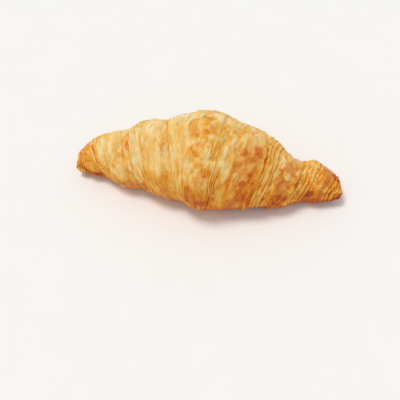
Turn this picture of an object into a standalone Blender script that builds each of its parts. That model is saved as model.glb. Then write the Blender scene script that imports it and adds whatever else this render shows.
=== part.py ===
"""A butter croissant, one piece of baked laminated dough.

A long triangle of dough is rolled up from its base to its point. The two cut
sides of the triangle wind round the roll as spiral seams, one towards each
tip, and show the stacked sheets of dough as narrow terraces. Between the
seams lies the smooth skin of each turn. The point of the triangle, the
tongue, is tucked under the front. The croissant lies along X, with its front
towards -Y, and rests on z = 0.

Metres and degrees. An angle round the roll is 0 underneath, 90 at the back,
180 on top and 270 at the front.
"""
import bmesh
import bpy
import numpy as np
from mathutils import Vector

# ---------------------------------------------------------------- dimensions

# Body sizes at places along the length: where, half width, sideways bend.
STATIONS = (
    (-0.0910, 0.0000, 0.0010),
    (-0.0895, 0.0045, 0.0030),
    (-0.0860, 0.0100, 0.0085),
    (-0.0800, 0.0135, 0.0100),
    (-0.0660, 0.0170, 0.0080),
    (-0.0460, 0.0245, 0.0095),
    (-0.0200, 0.0300, 0.0080),
    (0.0000, 0.0355, 0.0060),
    (0.0200, 0.0310, 0.0065),
    (0.0400, 0.0250, 0.0040),
    (0.0500, 0.0215, 0.0040),
    (0.0600, 0.0135, 0.0025),
    (0.0740, 0.0145, 0.0060),
    (0.0850, 0.0090, 0.0040),
    (0.0900, 0.0020, -0.0010),
    (0.0915, 0.0000, -0.0020),
)
STATION_BLEND = 0.004       # length over which one station's size eases into the next
FLATNESS_MIDDLE = 0.70      # height over width in the middle of the roll
FLATNESS_TIPS = 0.84        # and at the tips, which are rounder
WIDEST_AT = 0.42            # share of the height below the widest line
SOLE_SQUARENESS = 2.8       # superellipse exponent of the flattened lower half
SOLE_PRESS = 0.0008         # how far the sole is pressed flat on the tray
NOSE_HEIGHT = 0.0068        # the tips end at this height, as round noses
TIP_RAISE = 0.002           # the tips stand this far off the tray
TIP_RAISE_FROM = 0.060      # where along the length that lift begins

TONGUE_ANGLE = 340.0        # angle round the roll of the tongue's end
TONGUE_FADE = 0.010         # the tongue thins out where its seam is nearer the middle
SWING_AT = 165.0            # angle round the roll where the seams lie furthest out
TURNS = 4                   # turns of the seam that are laid out on each side
SEAMS = {
    # side: first reach past the tongue, advance a turn, tightening a turn,
    # sideways swing, degrees that the swing takes to settle, tip
    -1: {"bulge": 0.0121, "pitch": 0.0270, "tighten": 0.0, "swing": 0.0030,
         "settle": 60.0, "tip": 0.0910},
    1: {"bulge": -0.0008, "pitch": 0.0375, "tighten": 0.0030, "swing": 0.0015,
        "settle": 250.0, "tip": 0.0915},
}
BULGE_SETTLE = 40.0         # degrees in which the tongue reaches its first width

SEAM_WOBBLE = 0.0009        # the seams wander sideways by this
SEAM_WOBBLE_DEGREES = 24.0
SEAM_WOBBLE_FROM = 60.0     # over its first degrees a seam begins to wander
TURN_STEP = 0.0026          # how far one turn of dough stands above the next
TIP_STEP_SHARE = 0.45       # the step is thinner at the tips, by this share
CLOSED_SHARE = 0.90         # how much of a step is gone where the seam has closed up
CLOSED_AT, CLOSED_HALF_LENGTH = 0.016, 0.018    # where it has, along the length
CLOSED_ANGLE, CLOSED_HALF_TURN = 200.0, 110.0   # and round the roll
CUT_WIDTH = 0.0130          # width of the band of sheet edges along a seam
CUT_WIDTH_VARIES, CUT_WIDTH_DEGREES = 0.18, 95.0
CUT_SHARE_MOST = 0.55       # of the turn's own width
SKIN_DIP = 0.010            # over this length a skin sinks to the next seam's foot
SHEETS = 4                  # sheet edges that show in a cut side
SHEET_RISER = 0.40          # share of a sheet edge that is the steep part
SHEET_PROUD = 0.00038       # how far each sheet edge stands above the gap before it
SHEET_PROUD_VARIES, SHEET_PROUD_DEGREES = 0.9, 20.0
LIP = 0.16                  # share of the step that is the lowest sheet's lip
LIP_EASE = 0.14             # share of the cut side over which the lip rises
FOLD_HEIGHT = 0.00035       # shallow folds in the skins, which run round the roll
FOLD_WIDTH, FOLD_LENGTH = 0.0042, 0.024
FOLD_LEAN = 0.0078          # the folds lean with the seams, by this much
FOLD_LEAN_FROM = 0.012
LUMP_HEIGHT, LUMP_SIZE = 0.00055, 0.013
BLISTER_HEIGHT, BLISTER_SIZE = 0.00030, 0.0055
TIP_LUMP_HEIGHT, TIP_LUMP_SIZE = 0.0007, 0.0060
TIP_LUMP_REACH, TIP_LUMP_FADE = 0.022, 0.010    # how far in from the tips the lumps go
FULL_HALF_WIDTH = 0.030     # half width at which the relief has its full height

ROWS = 44                   # mesh rows round the roll
SKIN_COLUMNS = 7            # mesh columns across each turn's skin
WELD = 0.00002


# ------------------------------------------------------------------- helpers

def ease(t):
    """Smooth step from 0 to 1."""
    t = np.clip(t, 0.0, 1.0)
    return t * t * (3.0 - 2.0 * t)


class Unevenness:
    """Smooth random field between -1 and 1 over three coordinates."""

    def __init__(self, seed, cells=32):
        self.cells = cells
        self.knots = np.random.default_rng(seed).uniform(-1.0, 1.0, (cells,) * 3)

    def __call__(self, points):
        low = np.floor(points).astype(int)
        blend = ease(points - low)
        total = 0.0
        for corner in np.ndindex(2, 2, 2):
            share = np.prod(np.where(corner, blend, 1.0 - blend), axis=-1)
            at = (low + corner) % self.cells
            total = total + share * self.knots[at[..., 0], at[..., 1], at[..., 2]]
        return total


lumps = Unevenness(37)
blisters = Unevenness(23)
folds = Unevenness(71)
tip_lumps = Unevenness(51)
along_seam = Unevenness(11)


# ---------------------------------------------------------------- plain body

def body_sizes(along):
    """Half width, height and sideways bend of the roll at a place along it."""
    where, half_widths, bends = np.array(STATIONS).T
    room = np.minimum(along - where[0], where[-1] - along)
    blend = np.clip(room, 0.0, STATION_BLEND)
    offsets = (-1.0, -0.5, 0.0, 0.5, 1.0)
    squares = sum(np.interp(along + blend * o, where, half_widths ** 2) for o in offsets)
    half_width = np.sqrt(squares / len(offsets))
    bend = sum(np.interp(along + blend * o, where, bends) for o in offsets) / len(offsets)
    tipward = (along / where[-1]) ** 2
    flatness = FLATNESS_MIDDLE + (FLATNESS_TIPS - FLATNESS_MIDDLE) * tipward
    return half_width, 2.0 * half_width * flatness, bend


def plain_point(along, angle):
    """Point on the roll before any relief: a dome above, a flattened sole below."""
    half_width, height, bend = body_sizes(along)
    turn = np.radians(angle)
    sideways, upward = np.sin(turn), -np.cos(turn)
    squarer = np.where(upward >= 0.0, 1.0, 2.0 / SOLE_SQUARENESS)
    reach = np.where(upward >= 0.0, 1.0 - WIDEST_AT, WIDEST_AT) * height
    raised = np.clip((np.abs(along) - TIP_RAISE_FROM) / (STATIONS[-1][0] - TIP_RAISE_FROM), 0, 1)
    widest = np.maximum(WIDEST_AT * height, NOSE_HEIGHT) + TIP_RAISE * raised ** 2 - SOLE_PRESS
    y = bend + half_width * np.sign(sideways) * np.abs(sideways) ** squarer
    z = widest + reach * np.sign(upward) * np.abs(upward) ** squarer
    return np.stack(np.broadcast_arrays(along, y, z), axis=-1)


def outward(along, angle):
    """Unit normal of the plain body."""
    dx, da = 0.00005, 0.5
    lengthwise = plain_point(along + dx, angle) - plain_point(along - dx, angle)
    around = plain_point(along, angle + da) - plain_point(along, angle - da)
    normal = np.cross(around, lengthwise)
    return normal / np.maximum(np.linalg.norm(normal, axis=-1, keepdims=True), 1e-12)


# ------------------------------------------------------- seams and the relief

def seam_reach(side, back):
    """Distance of a seam from the middle, so many degrees back from the tongue's end."""
    seam = SEAMS[side]
    back = np.maximum(back, 0.0)
    turns = back / 360.0
    reach = seam["bulge"] * (1.0 - np.exp(-back / BULGE_SETTLE))
    reach = reach + seam["pitch"] * turns - seam["tighten"] * turns ** 2
    swing = seam["swing"] * (1.0 - np.exp(-back / seam["settle"]))
    reach = reach + swing * np.cos(np.radians(TONGUE_ANGLE - back - SWING_AT))
    wobble = along_seam(strip_place(side, back / SEAM_WOBBLE_DEGREES, 7.0))
    reach = reach + SEAM_WOBBLE * ease(back / SEAM_WOBBLE_FROM) * wobble
    return np.clip(reach, 0.0, seam["tip"])


def strip_place(side, lengthwise, across):
    """A place on one side's strip of dough, for the random fields."""
    return np.stack(np.broadcast_arrays(lengthwise, across, 3.0 * side), axis=-1)


def fold_place(along, angle, base):
    """Where a point lies among the folds, which lean with the seams of its side."""
    lean = FOLD_LEAN * np.tanh(along / FOLD_LEAN_FROM) * np.cos(np.radians(angle - SWING_AT))
    scaled = base / FOLD_LENGTH
    return np.stack([(along - lean) / FOLD_WIDTH, scaled[..., 1], scaled[..., 2]], axis=-1)


def seam_closed(along, angle):
    """1 where two turns lie flush because their seam closed in the oven, 0 elsewhere."""
    beside = np.abs(along - CLOSED_AT) / CLOSED_HALF_LENGTH
    turned = np.abs(np.mod(angle, 360.0) - CLOSED_ANGLE) / CLOSED_HALF_TURN
    return ease(1.4 * (1.0 - beside)) * ease(1.5 * (1.0 - turned))


def relief(side, back, inner, outer, from_seam, base):
    """Height above the plain body of a point this far in from its turn's cut seam."""
    along = side * (outer - from_seam)
    half_width, _, _ = body_sizes(along)
    size = TIP_STEP_SHARE + (1.0 - TIP_STEP_SHARE) * np.clip(half_width / FULL_HALF_WIDTH, 0, 1)
    width = outer - inner
    cut = cut_width(side, back, width)

    thinning = ease(outer / TONGUE_FADE)
    across = 1.0 - thinning * (1.0 - np.clip(from_seam / cut, 0.0, 1.0))

    sheets = across * SHEETS
    whole = np.floor(np.minimum(sheets, SHEETS - 1e-6))
    rising = ease((sheets - whole) / SHEET_RISER)
    falling = ease((sheets - whole - SHEET_RISER) / (1.0 - SHEET_RISER))
    varies = SHEET_PROUD_VARIES * along_seam(strip_place(side, back / SHEET_PROUD_DEGREES, whole))
    proud = SHEET_PROUD * ((rising - falling) * (1.0 + varies) - 0.5)

    stairs = (whole + rising) / SHEETS
    terrace = LIP * ease(across / LIP_EASE) + (1.0 - LIP) * (0.8 * stairs + 0.2 * ease(across))
    dip = 1.0 - ease(inner / TONGUE_FADE) * (1.0 - ease((width - from_seam) / SKIN_DIP))
    step = TURN_STEP * (1.0 - CLOSED_SHARE * seam_closed(along, TONGUE_ANGLE - back))
    height = size * (step * (terrace * dip - 0.5) + proud)

    on_skin = ease((across - 0.85) / 0.15)
    height = height + FOLD_HEIGHT * on_skin * folds(fold_place(along, TONGUE_ANGLE - back, base))
    height = height + LUMP_HEIGHT * size * lumps(base / LUMP_SIZE)
    height = height + BLISTER_HEIGHT * blisters(base / BLISTER_SIZE)
    from_tip = SEAMS[side]["tip"] - outer + from_seam
    near_tip = ease((TIP_LUMP_REACH - from_tip) / TIP_LUMP_FADE)
    return height + TIP_LUMP_HEIGHT * near_tip * tip_lumps(base / TIP_LUMP_SIZE)


def cut_width(side, back, width):
    """Width of the cut side, which widens and narrows along the seam."""
    varies = CUT_WIDTH_VARIES * along_seam(strip_place(side, back / CUT_WIDTH_DEGREES, 0.0))
    return np.minimum(CUT_WIDTH * (1.0 + varies), CUT_SHARE_MOST * width) + 1e-9


def columns_across(width, cut):
    """Distances from the seam of the mesh columns across one turn, seam first."""
    treads = []
    for sheet in range(SHEETS):
        treads += [sheet / SHEETS, (sheet + SHEET_RISER) / SHEETS]
    on_cut = [cut * t for t in treads]
    on_skin = [cut + (width - cut) * c / SKIN_COLUMNS for c in range(SKIN_COLUMNS)]
    return on_cut + on_skin


def half_grid(side):
    """Rows round the roll by columns from the tip in to the middle, as points."""
    degrees = np.linspace(0.0, 360.0, ROWS + 1)
    angle = TONGUE_ANGLE - degrees
    tip = SEAMS[side]["tip"]
    columns = []
    for turn in range(TURNS - 1, -2, -1):
        back = degrees + 360.0 * turn
        inner, outer = seam_reach(side, back), seam_reach(side, back + 360.0)
        width = outer - inner
        across = columns_across(width, cut_width(side, back, width))
        if turn == -1:
            across.append(width)
        for from_seam in across:
            along = side * (outer - from_seam)
            base = plain_point(along, angle)
            height = relief(side, back, inner, outer, from_seam, base)
            inside = np.clip(along, -SEAMS[-1]["tip"] + 0.0003, SEAMS[1]["tip"] - 0.0003)
            height = height * ease((tip - np.abs(along)) / 0.003)
            columns.append(base + outward(inside, angle) * height[:, None])
    grid = np.stack(columns, axis=1)
    grid[..., 2] = np.maximum(grid[..., 2], 0.0)
    return grid


# ---------------------------------------------------------------------- mesh

def add_half(mesh, side):
    """Skin one half of the roll; the seam row is welded to itself a turn later."""
    grid = half_grid(side)
    points = [[mesh.verts.new(point) for point in row] for row in grid]
    for row, following in zip(points, points[1:]):
        for column in range(len(row) - 1):
            corners = (row[column], row[column + 1], following[column + 1], following[column])
            mesh.faces.new(corners if side < 0 else corners[::-1])


def croissant_mesh():
    mesh = bmesh.new()
    add_half(mesh, -1)
    add_half(mesh, 1)
    bmesh.ops.remove_doubles(mesh, verts=mesh.verts, dist=WELD)
    bmesh.ops.dissolve_degenerate(mesh, edges=mesh.edges, dist=WELD)
    bmesh.ops.triangulate(mesh, faces=mesh.faces)
    bmesh.ops.recalc_face_normals(mesh, faces=mesh.faces)
    centre_over_origin(mesh)
    return mesh


def centre_over_origin(mesh):
    """Bring the middle of the croissant's footprint to the origin."""
    places = np.array([vert.co for vert in mesh.verts])
    low, high = places.min(axis=0), places.max(axis=0)
    middle = Vector(((low[0] + high[0]) / 2.0, (low[1] + high[1]) / 2.0, low[2]))
    bmesh.ops.translate(mesh, vec=-middle, verts=mesh.verts)


def crust_material():
    """Straw-yellow to golden baked crust."""
    material = bpy.data.materials.new("baked_crust")
    material.use_nodes = True
    shader = material.node_tree.nodes["Principled BSDF"]
    shader.inputs["Base Color"].default_value = (0.72, 0.45, 0.14, 1.0)
    shader.inputs["Roughness"].default_value = 0.55
    shader.inputs["Metallic"].default_value = 0.0
    material.diffuse_color = (0.72, 0.45, 0.14, 1.0)
    return material


def build():
    for old in list(bpy.data.objects):
        bpy.data.objects.remove(old)
    collection = bpy.data.collections.new("croissant")
    bpy.context.scene.collection.children.link(collection)

    shape = croissant_mesh()
    data = bpy.data.meshes.new("croissant")
    shape.to_mesh(data)
    shape.free()
    data.shade_smooth()
    data.set_sharp_from_angle(angle=np.radians(35.0))
    data.materials.append(crust_material())

    croissant = bpy.data.objects.new("croissant", data)
    collection.objects.link(croissant)


build()
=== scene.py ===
# %% [markdown]
# # A butter croissant
# A croissant is one long triangle of layered dough, rolled up from its base to
# its point and baked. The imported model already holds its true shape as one
# solid. This lesson dresses that solid: a finer crust over the same form,
# sheets that have lifted along the seams, loose flakes, and the colours of the
# oven. It starts by loading the model, whose box every later step stays in.

# %% Load the frame and keep its box
import math

import bmesh
import bpy
import numpy as np
from mathutils import Matrix, Vector


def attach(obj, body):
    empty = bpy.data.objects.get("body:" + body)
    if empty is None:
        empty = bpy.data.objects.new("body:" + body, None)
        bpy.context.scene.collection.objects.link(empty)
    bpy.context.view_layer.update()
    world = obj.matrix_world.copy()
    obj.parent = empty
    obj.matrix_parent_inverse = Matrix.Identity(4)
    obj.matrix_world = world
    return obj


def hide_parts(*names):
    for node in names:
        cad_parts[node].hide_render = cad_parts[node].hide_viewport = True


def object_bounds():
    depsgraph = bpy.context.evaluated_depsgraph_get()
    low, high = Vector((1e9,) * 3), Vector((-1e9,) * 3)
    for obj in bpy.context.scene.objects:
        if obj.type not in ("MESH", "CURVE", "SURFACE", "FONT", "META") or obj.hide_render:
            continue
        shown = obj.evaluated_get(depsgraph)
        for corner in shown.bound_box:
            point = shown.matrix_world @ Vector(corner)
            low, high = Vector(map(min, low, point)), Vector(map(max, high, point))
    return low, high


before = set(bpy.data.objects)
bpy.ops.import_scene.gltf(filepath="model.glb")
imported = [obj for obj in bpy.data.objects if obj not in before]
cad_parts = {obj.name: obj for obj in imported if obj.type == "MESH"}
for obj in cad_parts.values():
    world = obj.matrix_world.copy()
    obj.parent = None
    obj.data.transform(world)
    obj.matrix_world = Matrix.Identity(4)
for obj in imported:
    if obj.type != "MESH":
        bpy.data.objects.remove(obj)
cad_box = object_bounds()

MM = 0.001
print("croissant, mm:", [round(side / MM, 1) for side in (cad_box[1] - cad_box[0])])

# %% [markdown]
# ## The view
# The photograph looks down on the croissant from in front of it. A camera can
# be placed by typing six numbers, but a stand says more: how steeply it looks
# down, how far it is turned round the croissant, and how far it leans. The
# three turns are multiplied in the order in which a photographer makes them.

# %% Camera
LOOKS_DOWN = math.radians(52.237)
TURNED = math.radians(11.065)
LEANS = math.radians(-2.707)
STAND = Vector((0.04528, -0.26387, 0.32106))

camera_data = bpy.data.cameras.new("camera")
camera_data.lens = 54.0
camera_data.sensor_width = 36.0
camera = bpy.data.objects.new("camera", camera_data)
tilt = Matrix.Rotation(math.pi / 2 - LOOKS_DOWN, 4, "X")
camera.matrix_world = (Matrix.Translation(STAND) @ Matrix.Rotation(TURNED, 4, "Z")
                       @ tilt @ Matrix.Rotation(LEANS, 4, "Z"))
bpy.context.scene.collection.objects.link(camera)
bpy.context.scene.camera = camera
print("camera stands", round(STAND.length, 3), "m from the middle of the sole")

# %% [markdown]
# ## Unevenness
# No two millimetres of a croissant are alike, so nearly every step below needs
# a random field that changes smoothly from place to place. Blender has its own
# noise, but one point at a time. A lattice of random numbers, blended between
# its knots, gives a whole array of points at once and is the same on each run,
# because each lattice has its own seed.

# %% Ease and unevenness
def ease(t):
    """Smooth step from 0 to 1."""
    t = np.clip(t, 0.0, 1.0)
    return t * t * (3.0 - 2.0 * t)


def grows(value, start, full):
    """0 up to the start, 1 from the full value on, and a smooth step between them."""
    return ease((value - start) / (full - start))


def at_edge(share):
    """1 where a share is one half, at its edge, and 0 where it is whole or gone."""
    return 4.0 * share * (1.0 - share)


class Unevenness:
    """Smooth random field between -1 and 1 over three coordinates."""

    def __init__(self, seed, cells=32):
        self.cells = cells
        self.knots = np.random.default_rng(seed).uniform(-1.0, 1.0, (cells,) * 3)

    def __call__(self, points):
        low = np.floor(points).astype(int)
        blend = ease(points - low)
        total = 0.0
        for corner in np.ndindex(2, 2, 2):
            share = np.prod(np.where(corner, blend, 1.0 - blend), axis=-1)
            at = (low + corner) % self.cells
            total = total + share * self.knots[at[..., 0], at[..., 1], at[..., 2]]
        return total


SIDES_APART = 3.0


def strip_place(side, lengthwise, across):
    """A place on one side's strip of dough, for the random fields."""
    return np.stack(np.broadcast_arrays(lengthwise, across, SIDES_APART * side), axis=-1)


lumps = Unevenness(37)
blisters = Unevenness(23)
folds = Unevenness(71)
tip_lumps = Unevenness(51)
along_seam = Unevenness(11)
print("five fields, each with", lumps.knots.size, "knots")

# %% [markdown]
# ## The plain roll
# Under its flakes the croissant is a spindle: widest in the middle, nearly
# straight, with a domed top and a sole that lay flat on the tray. The few body
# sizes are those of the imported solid. Between them the squares of the half
# widths are blended, not the half widths, so that both tips close as round
# noses. An angle round the roll is 0 underneath, 90 at the back, 180 on top and
# 270 at the front.

# %% Body sizes
STATIONS = (    # along the length, half width, sideways bend
    (-0.0910, 0.0000, 0.0010),
    (-0.0895, 0.0045, 0.0030),
    (-0.0860, 0.0100, 0.0085),
    (-0.0800, 0.0135, 0.0100),
    (-0.0660, 0.0170, 0.0080),
    (-0.0460, 0.0245, 0.0095),
    (-0.0200, 0.0300, 0.0080),
    (0.0000, 0.0355, 0.0060),
    (0.0200, 0.0310, 0.0065),
    (0.0400, 0.0250, 0.0040),
    (0.0500, 0.0215, 0.0040),
    (0.0600, 0.0135, 0.0025),
    (0.0740, 0.0145, 0.0060),
    (0.0850, 0.0090, 0.0040),
    (0.0900, 0.0020, -0.0010),
    (0.0915, 0.0000, -0.0020),
)
STATION_BLEND = 0.004
FLATNESS_MIDDLE, FLATNESS_TIPS = 0.70, 0.84
LEFT_TIP, RIGHT_TIP = STATIONS[0][0], STATIONS[-1][0]


def body_sizes(along):
    """Half width, height and sideways bend of the roll at a place along it."""
    where, half_widths, bends = np.array(STATIONS).T
    room = np.minimum(along - where[0], where[-1] - along)
    blend = np.clip(room, 0.0, STATION_BLEND)
    offsets = (-1.0, -0.5, 0.0, 0.5, 1.0)
    squares = sum(np.interp(along + blend * o, where, half_widths ** 2) for o in offsets)
    half_width = np.sqrt(squares / len(offsets))
    bend = sum(np.interp(along + blend * o, where, bends) for o in offsets) / len(offsets)
    flatness = FLATNESS_MIDDLE + (FLATNESS_TIPS - FLATNESS_MIDDLE) * (along / RIGHT_TIP) ** 2
    return half_width, 2.0 * half_width * flatness, bend


print("widest, mm:", round(2 * float(body_sizes(0.0)[0]) / MM, 1))

# %% The roll's surface
WIDEST_AT = 0.42
SOLE_SQUARENESS = 2.8
SOLE_PRESS = 0.0008
NOSE_HEIGHT = 0.0068
TIP_RAISE, TIP_RAISE_FROM = 0.002, 0.060


def plain_point(along, angle):
    """Point on the roll before any relief: a dome above, a flattened sole below."""
    half_width, height, bend = body_sizes(along)
    turn = np.radians(angle)
    sideways, upward = np.sin(turn), -np.cos(turn)
    squarer = np.where(upward >= 0.0, 1.0, 2.0 / SOLE_SQUARENESS)
    reach = np.where(upward >= 0.0, 1.0 - WIDEST_AT, WIDEST_AT) * height
    raised = np.clip((np.abs(along) - TIP_RAISE_FROM) / (RIGHT_TIP - TIP_RAISE_FROM), 0, 1)
    widest = np.maximum(WIDEST_AT * height, NOSE_HEIGHT) + TIP_RAISE * raised ** 2 - SOLE_PRESS
    y = bend + half_width * np.sign(sideways) * np.abs(sideways) ** squarer
    z = widest + reach * np.sign(upward) * np.abs(upward) ** squarer
    return np.stack(np.broadcast_arrays(along, y, z), axis=-1)


NORMAL_STEP, NORMAL_DEGREES = 0.05 * MM, 0.5
NORMAL_MARGIN = 0.3 * MM
TINY_AREA, TINY_WIDTH = 1e-12, 1e-9


def outward(along, angle):
    """Unit normal of the plain roll."""
    along = np.clip(along, LEFT_TIP + NORMAL_MARGIN, RIGHT_TIP - NORMAL_MARGIN)
    lengthwise = plain_point(along + NORMAL_STEP, angle) - plain_point(along - NORMAL_STEP, angle)
    around = plain_point(along, angle + NORMAL_DEGREES) - plain_point(along, angle - NORMAL_DEGREES)
    normal = np.cross(around, lengthwise)
    return normal / np.maximum(np.linalg.norm(normal, axis=-1, keepdims=True), TINY_AREA)


print("top of the middle, mm:", plain_point(np.float64(0.0), np.float64(180.0)).round(4) / MM)

# %% [markdown]
# ## The spiral seams
# The two cut sides of the triangle wind round the roll, one towards each tip.
# A seam is easiest to follow backwards: start at the tongue, the point of the
# triangle tucked under the front, and count the degrees turned. The seam's
# distance from the middle then grows by one pitch a turn, and swings a little,
# because nobody rolls a croissant quite straight.

# %% Seams
TONGUE_ANGLE = 340.0
TONGUE_FADE = 0.010
SWING_AT = 165.0
TURNS = 4
BULGE_SETTLE = 40.0
SEAM_WOBBLE, SEAM_WOBBLE_DEGREES, SEAM_WOBBLE_ROW = 0.0009, 24.0, 7.0
SEAM_WOBBLE_FROM = 60.0
SEAMS = {
    -1: {"bulge": 0.0121, "pitch": 0.0270, "tighten": 0.0, "swing": 0.0030,
         "settle": 60.0, "tip": 0.0910},
    1: {"bulge": -0.0008, "pitch": 0.0375, "tighten": 0.0030, "swing": 0.0015,
        "settle": 250.0, "tip": 0.0915},
}


def seam_reach(side, back):
    """Distance of a seam from the middle, so many degrees back from the tongue's end."""
    seam = SEAMS[side]
    back = np.maximum(back, 0.0)
    turns = back / 360.0
    reach = seam["bulge"] * (1.0 - np.exp(-back / BULGE_SETTLE))
    reach = reach + seam["pitch"] * turns - seam["tighten"] * turns ** 2
    swing = seam["swing"] * (1.0 - np.exp(-back / seam["settle"]))
    reach = reach + swing * np.cos(np.radians(TONGUE_ANGLE - back - SWING_AT))
    wobble = along_seam(strip_place(side, back / SEAM_WOBBLE_DEGREES, SEAM_WOBBLE_ROW))
    reach = reach + SEAM_WOBBLE * ease(back / SEAM_WOBBLE_FROM) * wobble
    return np.clip(reach, 0.0, seam["tip"])


for side in (-1, 1):
    over_the_top = seam_reach(side, TONGUE_ANGLE - 180.0 + 360.0 * np.arange(3))
    print("seam crosses the top at, mm:", (side * over_the_top / MM).round(1))

# %% [markdown]
# ## The cut sides
# Along each seam the knife's cut shows the stacked sheets of dough. They puffed
# apart in the oven, so the cut side is now a slope of narrow terraces, about
# thirteen millimetres wide, that climbs from the turn below to the skin of its
# own turn. The terraces are counted by a number that runs from 0 at the seam to
# the number of sheets at the skin. Wandering that number sideways makes the
# sheet edges wave, fork and meet, as real ones do.

# %% Sheet edges
CUT_WIDTH, CUT_SHARE_MOST = 0.0130, 0.55
CUT_WIDTH_VARIES, CUT_WIDTH_DEGREES = 0.18, 95.0
SHEETS = 4
SHEET_RISER = 0.40
SHEET_PROUD = 0.00038
SHEET_PROUD_VARIES, SHEET_PROUD_DEGREES = 0.9, 20.0
LIP, LIP_EASE = 0.16, 0.14
PLAIN_SLOPE = 0.2
WANDERS = (     # by how many sheets, over degrees and width, start in the field
    (0.42, 26.0, 0.0026, 0.0),
    (0.10, 9.0, 0.0013, 9.0),
)
WANDER_HELD = 0.12
wander = Unevenness(5)


def cut_width(side, back, width):
    """Width of the cut side, which widens and narrows along the seam."""
    varies = along_seam(strip_place(side, back / CUT_WIDTH_DEGREES, 0.0))
    cut = CUT_WIDTH * (1.0 + CUT_WIDTH_VARIES * varies)
    return np.minimum(cut, CUT_SHARE_MOST * width) + TINY_WIDTH


def sheet_edges(side, back, from_seam, across):
    """Terrace height from 0 to 1, how proud each edge stands, and where on its sheet."""
    wandered = sum(by * wander(strip_place(side, back / degrees + start, from_seam / width))
                   for by, degrees, width, start in WANDERS)
    loose = ease(across / WANDER_HELD) * ease((1.0 - across) / WANDER_HELD)
    sheets = np.clip(across * SHEETS + loose * wandered, 0.0, SHEETS)
    whole = np.minimum(np.floor(sheets), SHEETS - 1)
    on_sheet = sheets - whole
    rising = ease(on_sheet / SHEET_RISER)
    falling = grows(on_sheet, SHEET_RISER, 1.0)
    varies = along_seam(strip_place(side, back / SHEET_PROUD_DEGREES, whole))
    proud = (rising - falling) * (1.0 + SHEET_PROUD_VARIES * varies)
    stairs = (whole + rising) / SHEETS
    slope = (1.0 - PLAIN_SLOPE) * stairs + PLAIN_SLOPE * ease(across)
    return LIP * ease(across / LIP_EASE) + (1.0 - LIP) * slope, proud, on_sheet


print("one sheet edge every", round(CUT_WIDTH / SHEETS / MM, 2), "mm")

# %% [markdown]
# ## The skins
# Between a cut side and the next seam lies the skin of a turn. It was brushed
# with egg, so it browned and shines, and it is drawn into shallow folds that
# run round the roll and lean with the seams. A field that is stretched the same
# way gives the folds, and most of what follows is read from such a field.

# %% Folds that lean with the seams
FOLD_HEIGHT, FOLD_WIDTH, FOLD_LENGTH = 0.00035, 0.0042, 0.024
FOLD_LEAN, FOLD_LEAN_FROM = 0.0078, 0.012


def seam_lean(along, angle):
    """How far a line along the dough has leaned towards the tip at this angle."""
    return FOLD_LEAN * np.tanh(along / FOLD_LEAN_FROM) * np.cos(np.radians(angle - SWING_AT))


def fold_place(along, angle, base, width, length):
    """Where a point lies in a field stretched round the roll, leaning with the seams."""
    leaned = (along - seam_lean(along, angle)) / width
    return np.stack([leaned, base[..., 1] / length, base[..., 2] / length], axis=-1)


print("a fold leans by up to", FOLD_LEAN / MM, "mm")

# %% [markdown]
# ### Scraps of film
# The film is cracked into scraps a few millimetres across, and each has dried
# at its own tilt. Noise can't make flat facets with edges, but cells can: every
# cell of a lattice gets a middle, and a place belongs to the nearest one. The
# difference to the second nearest tells how far the border is.

# %% Scraps
class Scraps:
    """Space broken into scraps; each has a tilt and a tone of its own."""

    def __init__(self, seed, cells=32):
        draw = np.random.default_rng(seed)
        self.cells = cells
        self.middles = draw.uniform(0.1, 0.9, (cells,) * 3 + (3,))
        self.tilts = draw.uniform(-1.0, 1.0, (cells,) * 3 + (3,))
        self.tones = draw.uniform(-1.0, 1.0, (cells,) * 3)

    def __call__(self, points):
        """Height on the tilted scrap, its tone, and the distance to its border."""
        low = np.floor(points).astype(int)
        nearest = np.full(points.shape[:-1], np.inf)
        second, height, tone = nearest.copy(), nearest.copy(), nearest.copy()
        for step in np.ndindex(3, 3, 3):
            cell = low + np.array(step) - 1
            at = tuple(np.moveaxis(cell % self.cells, -1, 0))
            away = points - cell - self.middles[at]
            distance = np.linalg.norm(away, axis=-1)
            closer = distance < nearest
            second = np.where(closer, nearest, np.minimum(second, distance))
            height = np.where(closer, np.sum(away * self.tilts[at], axis=-1), height)
            tone = np.where(closer, self.tones[at], tone)
            nearest = np.minimum(nearest, distance)
        return height, tone, second - nearest


SCRAP_WIDTH, SCRAP_LENGTH = 0.0032, 0.0062
SCRAP_RAGGED, SCRAP_RAGGED_FINER = 0.22, 1.9
scraps = Scraps(43)
ragged = Unevenness(97)


def scrap_at(along, angle, base):
    """The scrap of film at each place: height on it, its tone, distance to its border."""
    place = fold_place(along, angle, base, SCRAP_WIDTH, SCRAP_LENGTH)
    return scraps(place + SCRAP_RAGGED * ragged(place * SCRAP_RAGGED_FINER)[..., None])


print("scraps, mm:", round(SCRAP_WIDTH / MM, 1), "by", round(SCRAP_LENGTH / MM, 1))

# %% [markdown]
# ### Where the film still lies
# Here and there the film has broken off in ragged patches and left paler dough
# a fraction of a millimetre lower. A film like that is a noise field cut at a
# level: above the level the film is still there. The left arm lost more of it
# than the right one, so the level is higher there.

# %% Film
FILM_THICKNESS = 0.00022
FILM_CURL = 0.00022
FILM_LEVEL, FILM_LEVEL_LEFT = 0.10, 0.28
FILM_LEFT_FROM, FILM_LEFT_FULL = -0.012, -0.032
FILM_PATCH, FILM_TATTER = (0.0044, 0.013), (0.0017, 0.0034)     # widths and lengths
FILM_TATTERED, FILM_BY_SCRAP = 0.35, 0.30
FILM_EDGE = 0.11
film_field = Unevenness(83)


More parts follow.
